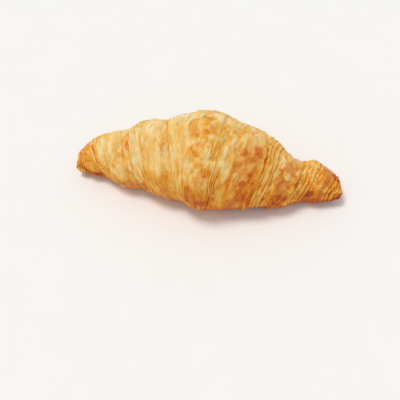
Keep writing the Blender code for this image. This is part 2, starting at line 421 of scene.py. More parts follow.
def film_cover(along, angle, base, tone=0.0):
    """1 where the egg-washed film still lies, 0 where it has flaked away."""
    field = film_field(fold_place(along, angle, base, *FILM_PATCH)) + FILM_BY_SCRAP * tone
    field = field + FILM_TATTERED * ragged(fold_place(along, angle, base, *FILM_TATTER))
    leftward = grows(along, FILM_LEFT_FROM, FILM_LEFT_FULL)
    level = FILM_LEVEL + (FILM_LEVEL_LEFT - FILM_LEVEL) * leftward
    return ease((field - level) / FILM_EDGE)


sample = np.linspace(-0.07, 0.07, 400)
top_line = film_cover(sample, 180.0, plain_point(sample, 180.0))
print("share of the top line under film:", round(float(top_line.mean()), 2))

# %% [markdown]
# ## This croissant's own marks, and a few painted highlights
# Noise alone gives a croissant, but not this one. Its own marks are placed one
# by one, as a painter would dab them on: rosy scraps of film, cream ridges, gold
# hollows, the browned tips. Each has a place along and round the roll, a size,
# and three effects: how much darker it is, how much smoother, which also brings
# the film back, and how far it stands up. Every mark leans with the dough and
# has a ragged edge.

# %% Marks
MARKS = (   # name, along mm, angle, half length mm, half width degrees, darker, smoother, raised mm
    # left nose
    ("left nose", -88.9, 232, 2.5, 30, 0.24, 0.0, 0.0),
    ("top of the left nose", -85.5, 190, 4.5, 45, 0.3, 1.0, 0.0),
    ("left nose bumps", -82.0, 223, 3.0, 16, -0.05, 0.0, 0.3),
    ("left nose ridge", -77.5, 224, 1.1, 34, -0.12, -1.0, 0.35),
    ("gold rim of the left nose", -86.0, 275, 3.6, 12, -0.4, 0.0, 0.0),
    ("left nose furrow", -75.6, 226, 0.8, 34, 0.14, -1.0, -0.2),
    ("low orange at the left nose", -77.0, 279, 5.0, 12, 0.46, 0.4, 0.0),
    ("pale side of the left nose", -79.5, 258, 3.5, 14, -0.26, 0.0, 0.2),
    ("hollow under the left nose", -72.0, 290, 5.0, 16, 0.24, 0.0, -2.4),
    # left arm
    # Painted highlight where light catches the top of the left shoulder.
    ("painted highlight on the left shoulder", -73.3, 190, 3.2, 26, -0.36, -0.6, 0.2),
    ("rosy hollow", -66.5, 216, 1.9, 25, 0.24, 0.8, -0.2),
    ("yellow skin", -59.4, 188, 5.2, 38, 0.2, 0.9, 0.0),
    ("orange spot on the yellow skin", -60.9, 234, 2.6, 8, 0.36, 1.0, 0.0),
    ("lower orange spot", -63.9, 252, 2.2, 8, 0.24, 0.8, 0.0),
    # Partly pale dough, partly a painted highlight on the facet.
    ("pale facet with a painted highlight", -57.4, 251, 5.8, 21, -0.22, -0.8, 0.45),
    ("tan foot", -55.6, 271, 4.5, 12, 0.2, 0.4, 0.0),
    ("pale rim of the tan foot", -55.8, 293, 4.5, 9, -0.44, 0.0, 0.0),
    ("brown seam", -55.1, 212, 0.7, 24, 0.4, 0.0, -0.2),
    ("orange seam line", -54.0, 195, 1.6, 14, 0.36, 0.0, -0.1),
    ("first cream ridge", -47.6, 206, 1.3, 26, -0.3, -1.0, 0.5),
    ("second cream ridge", -43.7, 214, 1.3, 40, -0.34, -1.0, 0.5),
    ("cream foot of the ridges", -46.4, 230, 1.8, 11, -0.22, -0.5, 0.1),
    ("lower end of the cream foot", -47.4, 244, 2.2, 9, -0.34, -0.5, 0.1),
    ("lower cream ridge", -43.2, 247, 3.4, 24, -0.38, -0.5, 0.2),
    ("pale heel", -41.0, 255, 2.4, 7, -0.26, -0.3, 0.0),
    ("orange foot", -46.3, 272, 3.5, 12, 0.05, 0.3, 0.0),
    ("gold blisters", -37.6, 213, 3.4, 13, 0.36, 0.7, 0.2),
    # Painted highlight on the top of the shoulder.
    ("painted highlight on the shoulder", -37.9, 166, 5.2, 22, -0.12, 0.2, 0.1),
    ("cream top behind the shoulder", -25.0, 146, 5.5, 15, -0.18, 0.1, 0.0),
    ("gold spot", -30.1, 176, 1.5, 7, 0.16, 0.3, 0.0),
    ("brown scrap", -26.9, 204, 3.0, 12, 0.5, 1.0, 0.1),
    ("cream streak", -28.5, 218, 1.5, 13, -0.14, 0.0, 0.1),
    ("low orange on the left", -31.2, 248, 6.0, 11, 0.26, 0.2, 0.0),
    ("cream foot on the left", -31.0, 266, 3.6, 9, -0.24, -0.4, 0.1),
    # middle
    ("third cream ridge", -19.9, 216, 1.6, 24, -0.26, -1.0, 0.4),
    ("foot of the third ridge", -22.0, 229, 2.2, 10, -0.26, -0.5, 0.1),
    ("yellow ridge", -15.5, 208, 1.2, 18, -0.12, -1.0, 0.2),
    ("gold on the left shoulder", -15.0, 174, 2.2, 12, 0.02, 0.0, 0.0),
    ("rosy scrap on top", -7.8, 178, 2.5, 13, 0.32, 1.0, 0.1),
    ("tan skin", -5.8, 199, 3.2, 12, -0.08, 0.8, 0.1),
    ("golden middle", -1.6, 206, 3.0, 11, 0.34, -0.4, 0.0),
    ("rosy scrap in the middle", -7.8, 213, 2.6, 7, 0.2, 0.9, 0.0),
    ("orange fork", 0.0, 177, 1.0, 13, 0.1, -0.8, 0.0),
    ("golden fork", -3.2, 169, 2.0, 12, 0.36, -0.8, 0.0),
    ("golden fork's end", 0.7, 160, 2.4, 6, 0.28, -0.8, 0.0),
    ("orange fork's bar", 4.6, 175, 2.4, 2.5, 0.08, 0.0, 0.0),
    ("golden hollow", 3.4, 188, 4.0, 12, 0.24, -0.4, 0.0),
    ("cream top", 9.0, 150, 5.8, 16, -0.12, 0.4, 0.2),
    ("tan crown", 2.5, 146, 5.0, 8, 0.12, -0.2, 0.0),
    ("cream crown edge", 1.0, 128, 6.0, 10, -0.24, -0.8, 0.0),
    ("cream crown on the left", -19.5, 151, 6.0, 15, -0.24, 0.0, 0.0),
    ("tan top edge", -10.3, 134, 4.5, 11, 0.16, 0.2, 0.0),
    # Painted highlight along the ridge in the middle.
    ("painted highlight on the middle ridge", 3.4, 205, 1.0, 14, -0.34, -0.6, 0.35),
    ("second cream streak", 7.6, 212, 1.4, 9, -0.28, -0.5, 0.2),
    ("golden line in the middle", 5.0, 198, 1.1, 9, 0.28, -0.4, 0.0),
    ("rosy line", 8.6, 203, 1.7, 14, 0.4, 0.3, -0.1),
    ("rosy low scrap", 3.2, 228, 2.6, 8, 0.32, 0.4, 0.0),
    ("yellow ridges", 5.9, 222, 1.8, 12, 0.02, -1.0, 0.2),
    ("cream slope", 12.5, 186, 2.6, 22, 0.02, -0.5, 0.1),
    ("cream end of the slope", 12.1, 206, 2.2, 9, -0.24, -0.5, 0.1),
    ("cream foot of the slope", 16.6, 200, 1.6, 6, -0.04, -0.4, 0.1),
    ("gold patch", 19.2, 209, 3.0, 12, 0.26, 0.0, 0.0),
    ("pale end of the gold patch", 16.4, 221, 1.8, 6, -0.16, -0.4, 0.0),
    ("pale low scrap", 2.7, 241, 2.6, 8, 0.1, 0.8, 0.1),
    ("low orange in the middle", -3.4, 268, 8.0, 12, 0.26, 0.0, 0.0),
    ("low orange patch", -6.4, 256, 3.0, 8, 0.3, 0.6, 0.0),
    ("upper end of the low orange", -8.0, 251, 2.6, 8, 0.18, 0.4, 0.0),
    ("gold left of the low orange", -15.0, 250, 3.0, 10, -0.14, 0.0, 0.0),
    ("pale streaks in the middle", -4.2, 228, 2.6, 9, -0.12, -0.5, 0.1),
    ("low orange scrap", 9.2, 239, 2.8, 10, 0.36, 0.5, 0.0),
    ("pale edge in the middle", 10.6, 226, 1.9, 11, -0.24, -0.5, 0.1),
    ("low gold in the middle", 17.6, 262, 3.5, 11, 0.02, -0.5, 0.0),
    ("low rim in the middle", 25.0, 281, 8.0, 9, -0.1, 0.0, 0.0),
    ("low rim left of the middle", -12.0, 277, 5.0, 8, -0.22, 0.0, 0.0),
    ("low gold under the front", 11.6, 271, 3.0, 8, -0.22, 0.0, 0.0),
    # right arm
    ("cream bumps", 20.0, 153, 4.2, 16, -0.14, -1.0, 0.2),
    ("yellow flecks", 16.0, 172, 3.4, 12, 0.14, -0.8, 0.1),
    ("pale skin", 31.0, 156, 7.5, 20, 0.02, 0.5, 0.1),
    ("pale edge of the skin", 32.5, 177, 3.2, 6, -0.16, 0.0, 0.1),
    ("rosy ring", 24.8, 198, 3.0, 6, 0.34, 0.4, 0.1),
    ("rosy scrap below the ring", 28.0, 209, 2.2, 6, 0.26, 0.8, 0.0),
    ("rosy band", 32.6, 200, 2.2, 8, 0.26, 0.9, 0.0),
    ("rosy patch", 23.4, 219, 6.0, 10, 0.2, 1.0, 0.0),
    ("orange under the rosy patch", 18.2, 240, 3.2, 11, 0.2, 0.0, 0.0),
    ("tan patch", 25.8, 229, 3.0, 7, -0.2, 1.0, 0.0),
    ("orange stripe", 32.8, 223, 2.4, 14, 0.36, 0.9, 0.0),
    ("low orange on the right", 27.0, 252, 4.4, 24, 0.3, -0.8, 0.0),
    ("orange spot on the right", 26.7, 240, 2.4, 7, 0.4, 0.7, 0.0),
    ("yellow foot of the right arm", 12.0, 262, 3.0, 9, -0.1, -0.4, 0.0),
    ("orange left of the dark line", 36.8, 218, 2.6, 8, 0.16, 0.3, 0.0),
    ("smooth brown", 35.8, 189, 4.2, 8, 0.3, 0.8, 0.0),
    ("orange beside the brown", 39.2, 192, 2.0, 9, 0.5, 0.8, 0.0),
    ("red spots", 39.2, 176, 2.4, 10, 0.34, -0.5, -0.1),
    ("rosy bump", 41.3, 149, 2.4, 14, -0.3, -1.0, 0.3),
    ("cream bump below the rosy one", 41.6, 171, 1.5, 7, -0.22, -0.5, 0.2),
    ("cream line", 42.6, 196, 1.0, 24, 0.04, -0.8, 0.3),
    ("dark line", 39.6, 200, 1.3, 20, 0.26, -0.5, -0.1),
    ("low yellow", 36.5, 260, 4.6, 14, -0.34, -0.5, 0.0),
    ("low gold on the right", 46.0, 247, 2.8, 10, 0.2, -0.3, 0.0),
    ("pale spot above the low gold", 42.0, 243, 2.6, 9, -0.24, -0.3, 0.0),
    ("rosy slope", 49.4, 224, 3.6, 18, 0.38, 0.6, 0.0),
    ("cream notch", 50.1, 182, 3.2, 18, -0.20, -0.5, 0.1),
    ("orange skin", 56.6, 190, 4.2, 20, 0.16, 1.0, 0.0),
    ("pale edge of the orange skin", 54.0, 213, 1.6, 9, -0.18, -0.4, 0.1),
    ("rosy tan", 61.8, 205, 3.2, 17, 0.4, 0.6, 0.0),
    ("orange side", 58.0, 228, 3.0, 10, 0.3, 0.5, 0.0),
    ("rosy side of the right arm", 66.6, 225, 2.4, 10, 0.28, 0.8, 0.0),
    ("cream scraps", 55.3, 238, 3.4, 7, -0.10, -1.0, 0.3),
    ("low brown band", 49.8, 263, 4.4, 14, 0.26, 0.0, 0.0),
    ("low gold of the right arm", 60.0, 266, 4.6, 11, -0.18, 0.0, 0.0),
    ("pale spot low on the right arm", 62.1, 251, 2.6, 7, -0.22, 0.0, 0.0),
    ("pale lobe", 37.9, 278, 5.5, 9, -0.34, 0.8, 0.1),
    ("low yellow band", 55.0, 271, 4.0, 8, -0.28, 0.0, 0.0),
    # right nose
    ("right cream ridge", 68.3, 201, 1.3, 34, -0.08, -1.0, 0.35),
    ("right furrow", 70.5, 205, 0.9, 30, 0.14, -1.0, -0.2),
    ("orange below the ridge", 72.5, 231, 2.4, 9, 0.24, 0.3, 0.0),
    ("right yellow", 73.5, 174, 2.8, 18, -0.14, 0.0, 0.0),
    ("right nose's top", 86.2, 164, 3.0, 34, 0.38, 0.0, -0.2),
    ("right nose's orange", 79.3, 222, 3.5, 18, 0.14, 0.5, 0.0),
    ("golden side of the right nose", 79.3, 239, 2.8, 10, -0.28, -0.3, 0.1),
    ("upper lump of the right nose", 86.5, 216, 1.7, 13, 0.08, 0.0, 0.5),
    ("lower lump of the right nose", 84.8, 254, 1.7, 12, -0.10, 0.0, 0.5),
    ("low orange at the right nose", 69.4, 251, 3.4, 14, 0.26, 0.4, 0.0),
    ("low brown at the right nose", 77.0, 262, 4.0, 9, -0.1, 0.0, 0.0),
    ("gold rim of the right nose", 82.5, 262, 4.0, 12, -0.2, 0.0, 0.0),
    ("low rim at the right nose", 73.3, 275, 5.0, 8, 0.02, 0.0, 0.0),
)
MARK_STRENGTH, MARK_MOST = 0.6, 0.28
MARK_EDGE_FROM, MARK_EDGE_TO = 0.75, 1.15
MARK_RAGGED = ((0.40, 0.0036, 0.0), (0.22, 0.0016, 20.0))   # share, size, start in the field
dabs = Unevenness(211)


def marks(along, angle, base):
    """How much darker, smoother and prouder the marks make each place."""
    angle = np.mod(angle, 360.0)
    leaned = along - seam_lean(along, angle)
    wobble = sum(share * dabs(base / size + start) for share, size, start in MARK_RAGGED)
    darker, smoother, raised = np.zeros((3,) + wobble.shape)
    for _, place, round_at, half_length, half_turn, dark, smooth, proud in MARKS:
        start = place * MM - seam_lean(place * MM, round_at)
        off = np.hypot((leaned - start) / (half_length * MM), (angle - round_at) / half_turn)
        share = 1.0 - grows(off + wobble, MARK_EDGE_FROM, MARK_EDGE_TO)
        darker = darker + MARK_STRENGTH * dark * share
        smoother = smoother + smooth * share
        raised = raised + proud * MM * share
    return np.clip(darker, -MARK_MOST, MARK_MOST), smoother, raised


print("marks placed by hand:", len(MARKS))

# %% [markdown]
# ## Where the turns lie flush
# A seam doesn't show all the way round. On top of the middle, to the right, the
# first seam of that side closed in the oven: the dough ran together, and the
# crust is crumpled there instead of stepped. One function gives the share of
# closing. It is placed twice: over the top for the sheet edges, and over a
# longer stretch for the step itself.

# %% Flush turns
FLUSH_AT, FLUSH_HALF_LENGTH = 0.016, 0.018
FLUSH_ENDS_LENGTHWISE, FLUSH_ENDS_AROUND = 1.4, 1.5
EDGES_FLUSH, STEP_FLUSH = (165.0, 75.0), (200.0, 110.0)     # middle and half turn, degrees
FLUSH_SMOOTHER, CLOSED_SHARE = 0.85, 0.90


def flush(along, angle, middle, half_turn):
    """1 where two turns lie flush, 0 where the seam between them is open."""
    beside = np.abs(along - FLUSH_AT) / FLUSH_HALF_LENGTH
    turned = np.abs(np.mod(angle, 360.0) - middle) / half_turn
    return ease(FLUSH_ENDS_LENGTHWISE * (1.0 - beside)) * ease(FLUSH_ENDS_AROUND * (1.0 - turned))


print("closed on top of the middle:", round(float(flush(FLUSH_AT, 180.0, *STEP_FLUSH)), 2))

# %% [markdown]
# ## The finest relief
# Four things make the dough rough: blisters, crinkles of dried film, hairlines
# across the cut sides, and threads of dough that was drawn out as it rose. A
# thread is a crest, and noise has only round hills. But where a noise field
# passes through zero it does so along a line, so the crest is put there.

# %% Blisters, crinkles, hairlines and threads
BLISTER_HEIGHT, BLISTER_SIZE = 0.00030, 0.0055
CRINKLE_HEIGHT, CRINKLE_WIDTH, CRINKLE_LENGTH = 0.00044, 0.0018, 0.0036
HAIR_HEIGHT, HAIR_DEGREES, HAIR_WIDTH = 0.00011, 36.0, 0.00055
THREAD_HEIGHT, THREAD_LEVEL = 0.00062, 0.4
THREADS, FINE_THREADS = (0.0027, 0.0150), (0.0027 / 2.3, 0.0150 / 1.6)  # widths and lengths
THREAD_PATCHES, THREADS_PATCHY = (0.0075, 0.010), 0.38
FINE_START, PATCH_START = 9.0, 17.0
THREAD_BENT = 0.30
THREAD_SHARP, FINE_SHARP = 2.8, 3.0
THREAD_SHARE, FINE_SHARE = 0.80, 0.50
FILM_HIDES_CRINKLES, FILM_HIDES_THREADS = 0.5, 0.7
hairlines = Unevenness(131)
crinkles = Unevenness(151)
drawn_out = Unevenness(171)


def crest_lines(field, sharp):
    """Crests of height 1 where a field passes through zero."""
    return np.clip(1.0 - sharp * np.abs(field), 0.0, 1.0)


def dough_threads(along, angle, base):
    """Ridges of drawn-out dough, 1 on a crest and 0 in the furrow beside it."""
    broad = drawn_out(fold_place(along, angle, base, *THREADS))
    fine = drawn_out(fold_place(along, angle, base, *FINE_THREADS) + FINE_START)
    patches = drawn_out(fold_place(along, angle, base, *THREAD_PATCHES) + PATCH_START)
    crests = crest_lines(broad + THREAD_BENT * fine, THREAD_SHARP)
    crests = crests * (1.0 - THREADS_PATCHY * (1.0 - patches))
    return np.clip(THREAD_SHARE * crests + FINE_SHARE * crest_lines(fine, FINE_SHARP), 0.0, 1.0)


def fine_relief(side, back, from_seam, along, angle, base, size, film, on_skin, crumpled):
    """Height of the finest relief; a whole film hides much of it."""
    crinkle = crinkles(fold_place(along, angle, base, CRINKLE_WIDTH, CRINKLE_LENGTH))
    hair = hairlines(strip_place(side, back / HAIR_DEGREES, from_seam / HAIR_WIDTH))
    threads = dough_threads(along, angle, base) - THREAD_LEVEL
    rough = BLISTER_HEIGHT * blisters(base / BLISTER_SIZE)
    rough = rough + CRINKLE_HEIGHT * crinkle * (1.0 - FILM_HIDES_CRINKLES * film) * crumpled
    rough = rough + HAIR_HEIGHT * hair * (1.0 - on_skin)
    return rough + THREAD_HEIGHT * size * threads * on_skin * (1.0 - FILM_HIDES_THREADS * film)


print("threads, mm wide:", [round(width / MM, 2) for width, _ in (THREADS, FINE_THREADS)])

# %% [markdown]
# ## The whole crust
# One function now answers for any place on the dough: how high it stands above
# the plain roll, how far its sheet leans out over the next one, and the masks
# that the colours will need. Keeping the shape and the masks together means
# that the brown can never drift away from the ridge that it belongs to. Low
# down at the front the crust is calmer and a little fuller, because it rose
# against the tray.

# %% Sizes of the crust's relief
TURN_STEP = 0.0026
TIP_STEP_SHARE, FULL_HALF_WIDTH = 0.45, 0.030
SKIN_FROM, SKIN_DIP = 0.85, 0.010
SHEET_OVERHANG = 0.00012
SEAM_GAP, SEAM_GAP_WIDTH = 0.00010, 0.0010
LUMP_HEIGHT, LUMP_SIZE = 0.00055, 0.013
TIP_LUMP_HEIGHT, TIP_LUMP_SIZE = 0.0007, 0.0060
TIP_LUMP_REACH, TIP_LUMP_FADE = 0.022, 0.010
TIP_FULLER, TIP_FULLER_REACH, TIP_FULLER_FADE = 0.0012, 0.010, 0.008
TIP_CLOSING = 0.0025
SCRAP_TILT, SCRAP_ON_CUT = 0.00075, 0.35
CRUMPLE_MORE = 0.9
LOW_CALMER, LOW_CALM_FROM, LOW_CALM_FULL = 0.65, 236.0, 262.0
LOW_FULLER = 0.0005
# The crest mask paints light into the bake. Sheet tops and bumps of the fine relief are painted
# paler, partly pale dough and partly painted highlight. Sheet feet and dips are painted darker,
# partly browned butter and partly painted shade.
CREST_FULL, CREST_LEVEL = 0.0008, 0.5
PALE_LIT_TOP_RISES, PALE_LIT_TOP_ENDS = (0.18, 0.42), (1.0, 0.5)
PALE_LIT_TOP, SHADED_FOOT = 1.1, 0.6
BORDER_WIDTH = 0.10
STRIP_DEGREES, STRIP_LENGTH, STRIPS_APART = 20.0, 5.0 * MM, 10.0
print("a turn's step, mm:", round(TURN_STEP / MM, 1))


# %% The crust
def crust(side, back, inner, outer, from_seam):
    """Points of the crust and its masks, this far in from each turn's seam."""
    width = outer - inner
    along = side * (outer - from_seam)
    angle = TONGUE_ANGLE - back
    to_tip = SEAMS[side]["tip"] - np.abs(along)
    half_width, _, _ = body_sizes(along)
    size = TIP_STEP_SHARE + (1.0 - TIP_STEP_SHARE) * np.clip(half_width / FULL_HALF_WIDTH, 0, 1)

    thinning = ease(outer / TONGUE_FADE)
    on_cut = np.clip(from_seam / cut_width(side, back, width), 0.0, 1.0)
    across = 1.0 - thinning * (1.0 - on_cut)
    terrace, proud, on_sheet = sheet_edges(side, back, from_seam, across)
    dip = 1.0 - ease(inner / TONGUE_FADE) * (1.0 - ease((width - from_seam) / SKIN_DIP))
    on_skin = grows(across, SKIN_FROM, 1.0)

    lean_out = side * SHEET_OVERHANG * size * thinning * (1.0 - on_skin) * proud
    base = plain_point(np.clip(along + lean_out, LEFT_TIP, RIGHT_TIP), angle)
    darker, smoother, raised = marks(along, angle, base)
    scrap_height, tone, to_border = scrap_at(along, angle, base)
    film = np.clip(film_cover(along, angle, base, tone) + smoother, 0.0, 1.0) * on_skin
    flush_top = flush(along, angle, *EDGES_FLUSH)
    closed = flush(along, angle, *STEP_FLUSH)
    stepped = 1.0 - FLUSH_SMOOTHER * flush_top
    calm = 1.0 - LOW_CALMER * grows(np.mod(angle, 360.0), LOW_CALM_FROM, LOW_CALM_FULL)
    crumpled = 1.0 + CRUMPLE_MORE * np.clip(flush_top - smoother, 0.0, 1.0)
    rough = calm * fine_relief(side, back, from_seam, along, angle, base, size, film,
                               on_skin, crumpled)

    step = TURN_STEP * (1.0 - CLOSED_SHARE * closed)
    height = size * (step * (terrace * dip - 0.5) + SHEET_PROUD * stepped * (proud - 0.5))
    height = height + LUMP_HEIGHT * size * lumps(base / LUMP_SIZE)
    folded = folds(fold_place(along, angle, base, FOLD_WIDTH, FOLD_LENGTH))
    height = height + FOLD_HEIGHT * on_skin * folded
    height = height + rough + LOW_FULLER * (1.0 - calm)
    height = height + FILM_THICKNESS * film + FILM_CURL * at_edge(film) + raised * size
    tilted = scrap_height * (SCRAP_ON_CUT + (1.0 - SCRAP_ON_CUT) * on_skin) * calm
    height = height + SCRAP_TILT * size * tilted
    gap = np.exp(-(from_seam / SEAM_GAP_WIDTH) ** 2) * thinning * (1.0 - closed)
    height = height - SEAM_GAP * size * gap

    near_tip = ease((TIP_LUMP_REACH - to_tip) / TIP_LUMP_FADE)
    height = height + TIP_LUMP_HEIGHT * near_tip * tip_lumps(base / TIP_LUMP_SIZE)
    height = height + TIP_FULLER * size * ease((TIP_FULLER_REACH - to_tip) / TIP_FULLER_FADE)
    height = height * ease(to_tip / TIP_CLOSING)
    points = base + outward(along + lean_out, angle) * height[..., None]
    points[..., 2] = np.maximum(points[..., 2], 0.0)

    # Painted light: a painted highlight on the sheet tops and bumps, painted shade at the sheet feet
    # and in the dips.
    pale_lit_top = grows(on_sheet, *PALE_LIT_TOP_RISES) * grows(on_sheet, *PALE_LIT_TOP_ENDS)
    terraced = (1.0 - on_skin) * stepped
    crest_painted_light = CREST_LEVEL + rough / CREST_FULL + terraced * (PALE_LIT_TOP * pale_lit_top - SHADED_FOOT)
    border = np.exp(-(to_border / BORDER_WIDTH) ** 2) * on_skin
    on_strip = np.stack(np.broadcast_arrays(from_seam / MM, back / STRIP_DEGREES,
                                            STRIPS_APART * side), axis=-1)
    on_roll = fold_place(along, angle, base, MM, STRIP_LENGTH)
    return {"points": points, "along": along, "angle": angle, "base": base, "film": film,
            "crest_painted_light": crest_painted_light, "darker": darker, "on_skin": on_skin, "near_tip": near_tip,
            "gap": gap, "tone": tone, "border": border,
            "strip": np.where(on_skin[..., None] > 0.5, on_roll, on_strip)}


middle_top = crust(1, np.array([[TONGUE_ANGLE - 180.0]]), 0.0, CUT_WIDTH, np.array([[CUT_WIDTH]]))
print("crust at the top of the middle, mm:", (middle_top["points"][0, 0] / MM).round(1))

# %% [markdown]
# ## From the formula to a mesh
# A plain grid of rows round the roll and columns along it would cut across the
# seams, and every terrace would come out as a staircase. Here the columns
# follow the seams instead: each turn of dough gets the same number of columns,
# and after one full turn the last row lands exactly on the first row of the
# next turn, where the two are welded. Half of the columns go to the cut side,
# because the finest shapes are there.

# %% Grid of one half
ROWS = 166
ROW_SHARES = (0.0, 0.028, 0.914, 1.0)       # fewer rows under the sole
ROW_DEGREES = (0.0, 20.0, 300.0, 360.0)
COLUMNS_ON_CUT, COLUMNS_ON_SKIN = 37, 35


def half_crust(side):
    """The crust on one side of the middle, as rows round it by columns in from the tip."""
    even = np.linspace(0.0, 1.0, ROWS + 1)[:, None]
    degrees = np.interp(even, ROW_SHARES, ROW_DEGREES)
    turns = []
    for turn in range(TURNS - 1, -2, -1):
        back = degrees + 360.0 * turn
        inner, outer = seam_reach(side, back), seam_reach(side, back + 360.0)
        width = outer - inner
        cut = cut_width(side, back, width)
        on_cut = cut * np.arange(COLUMNS_ON_CUT) / COLUMNS_ON_CUT
        on_skin = cut + (width - cut) * np.arange(COLUMNS_ON_SKIN) / COLUMNS_ON_SKIN
        across = [on_cut, on_skin] + ([width] if turn == -1 else [])
        turns.append(crust(side, back, inner, outer, np.concatenate(across, axis=1)))
    joined = {}
    for name in turns[0]:
        parts = [np.broadcast_to(t[name], t["points"].shape[:2] + t[name].shape[2:]) for t in turns]
        joined[name] = np.concatenate(parts, axis=1)
    return joined


halves = {side: half_crust(side) for side in (-1, 1)}
print("rows by columns of one half:", halves[1]["points"].shape[:2])

# %% [markdown]
# ## How far each place was baked, with painted light and shade
# The oven browns some places more than others: the tips most, and the low front
# where the dough touched the hot tray. Some rows of the table paint light and
# shade into the bake as well: the right arm is darker, partly browner and partly
# painted shade, and the top and back of the left arm are painted paler, because
# the light falls from the left. The low front and the low rim are darker partly
# as painted shade, where the crust turns under towards the floor. Each of those
# is one row of a table: how much darker, and between which limits along the
# roll, in metres, or round it, in degrees, it sets in. Crests are paler and the
# furrows between them darker, partly because crests dried out first while butter
# browned in the furrows, and partly as a painted highlight on the crests and
# painted shade in the furrows. The marks come on top.

# %% Bake
BAKE_EVERYWHERE, TIPS_DARKER = 0.40, 0.14
BROWNING_AND_PAINTED_LIGHT = (    # where, how much darker, and the limits within which it sets in
    # Partly browner, partly painted shade, as the light falls from the left.
    ("right arm", 0.06, ("along", 0.012, 0.042)),
    # Painted light: paler on top and at the back of the left arm, where the light falls.
    ("top and back of the left arm", -0.09, ("angle", 240.0, 180.0), ("along", 0.035, -0.005)),
    ("front of the right arm", 0.08, ("angle", 215.0, 245.0), ("along", -0.005, 0.025)),
    ("outer left arm", -0.06, ("along", -0.046, -0.066), ("along", -0.079, -0.069)),
    # Partly browning against the tray, partly painted shade low at the front.
    ("low front", 0.20, ("angle", 228.0, 268.0), ("angle", 345.0, 315.0)),
    # Painted shade where the crust turns under towards the floor, with some browning from the tray.
    ("low rim", 0.11, ("angle", 260.0, 294.0), ("angle", 345.0, 315.0)),
    ("low back", 0.12, ("angle", 135.0, 65.0)),
)
# How far crests are painted paler and furrows darker: partly the dough's own colour, partly painted
# highlight and painted shade.
CREST_PAINTED_LIGHT = 0.27
CLOUD_WIDTH, CLOUD_LENGTH = 0.0060, 0.0150
CLOUDS, FINER_CLOUDS, FINER_CLOUDS_BY, FINER_CLOUDS_START = 0.03, 0.05, 2.3, 50.0
# The seam gap is painted darker: painted shade in the crevice.
FILM_DARKER, FILM_MEAN, SEAM_GAP_SHADE = 0.06, 0.4, 0.12
# The curled edges of the film are painted paler: a painted highlight where they catch the light.
FILM_EDGE_HIGHLIGHT = 0.12
SCRAP_TONE, BORDER_PALER = 0.05, 0.05
cloudy = Unevenness(201)


def bake_and_painted_light(made):
    """How far the oven browned each place, with painted shade and painted highlights in it, from 0,
    pale, to 1, dark.
    """
    place = {"along": made["along"], "angle": np.mod(made["angle"], 360.0)}
    amount = BAKE_EVERYWHERE + TIPS_DARKER * made["near_tip"] + made["darker"]
    # Painted highlight on crests and painted shade in furrows, on top of their own paler and browner
    # dough.
    amount = amount + CREST_PAINTED_LIGHT * (CREST_LEVEL - np.clip(made["crest_painted_light"], 0.0, 1.0))
    for _, more, *limits in BROWNING_AND_PAINTED_LIGHT:
        for which, start, full in limits:
            more = more * grows(place[which], start, full)
        amount = amount + more
    smear = fold_place(place["along"], place["angle"], made["base"], CLOUD_WIDTH, CLOUD_LENGTH)
    amount = amount + CLOUDS * cloudy(smear)
    amount = amount + FINER_CLOUDS * cloudy(smear * FINER_CLOUDS_BY + FINER_CLOUDS_START)
    amount = amount + FILM_DARKER * (made["film"] - FILM_MEAN) * made["on_skin"]
    # Painted highlight: the film's curled edges are painted paler.
    # Painted shade: the seam gap is painted darker.
    amount = amount + SEAM_GAP_SHADE * made["gap"] - FILM_EDGE_HIGHLIGHT * at_edge(made["film"])
    amount = amount + SCRAP_TONE * made["tone"] * made["on_skin"] - BORDER_PALER * made["border"]
    return np.clip(amount, 0.0, 1.0)


# %% [markdown]
# Film and bare dough brown towards different colours. The film on the right arm
# turned rosy, and on the left it stayed nearer to gold, so a second mask says
# which way the colour goes.

# %% Rosy film
ROSY_LEFT = 0.35
ROSY_FROM, ROSY_FULL = -0.020, 0.020


def rosiness(made):
    """How far the film turned rosy rather than golden; more so on the right arm."""
    rightward = grows(made["along"], ROSY_FROM, ROSY_FULL)
    return made["film"] * (ROSY_LEFT + (1.0 - ROSY_LEFT) * rightward)


for half in halves.values():
    half["bake_and_painted_light"] = bake_and_painted_light(half)
    half["rosy"] = rosiness(half)
print("mean bake, left and right:", [round(float(h["bake_and_painted_light"].mean()), 2) for h in halves.values()])

# %% [markdown]
# ## Skinning the crust
# The two halves meet at the middle line. Each value that a finish needs is
# stored on the mesh as a named attribute, so the material can read it at every
# point without any image.

# %% Build the crust
def grid_faces(rows, columns, first, flip):
    """Corner numbers of the four-sided faces of one grid."""
    corner = first + np.arange(rows - 1)[:, None] * columns + np.arange(columns - 1)
    quad = np.stack([corner, corner + 1, corner + columns + 1, corner + columns], axis=-1)
    quad = quad.reshape(-1, 4)
    return quad[:, ::-1] if flip else quad


def put_attribute(mesh, name, values):
    """Store one number, or one vector, for each vertex."""
    kind, field = ("FLOAT_VECTOR", "vector") if values.ndim == 2 else ("FLOAT", "value")
    layer = mesh.attributes.new(name, kind, "POINT")
    layer.data.foreach_set(field, np.ascontiguousarray(values, dtype=np.float32).ravel())


def crust_mesh(name):
    """Both halves as one mesh, with the values that the finish reads."""
    mesh = bpy.data.meshes.new(name)
    rows, columns = halves[1]["points"].shape[:2]
    points = np.concatenate([halves[s]["points"].reshape(-1, 3) for s in (-1, 1)])
    faces = np.concatenate([grid_faces(rows, columns, 0, False),
                            grid_faces(rows, columns, rows * columns, True)])
    mesh.from_pydata(points.tolist(), [], faces.tolist())
    for value in ("bake_and_painted_light", "film", "rosy", "strip"):
        both = [halves[s][value].reshape(rows * columns, -1) for s in (-1, 1)]
        put_attribute(mesh, value, np.concatenate(both).squeeze())
    return mesh


crust_shape = crust_mesh("croissant_crust")
print("before welding:", len(crust_shape.vertices), "points")

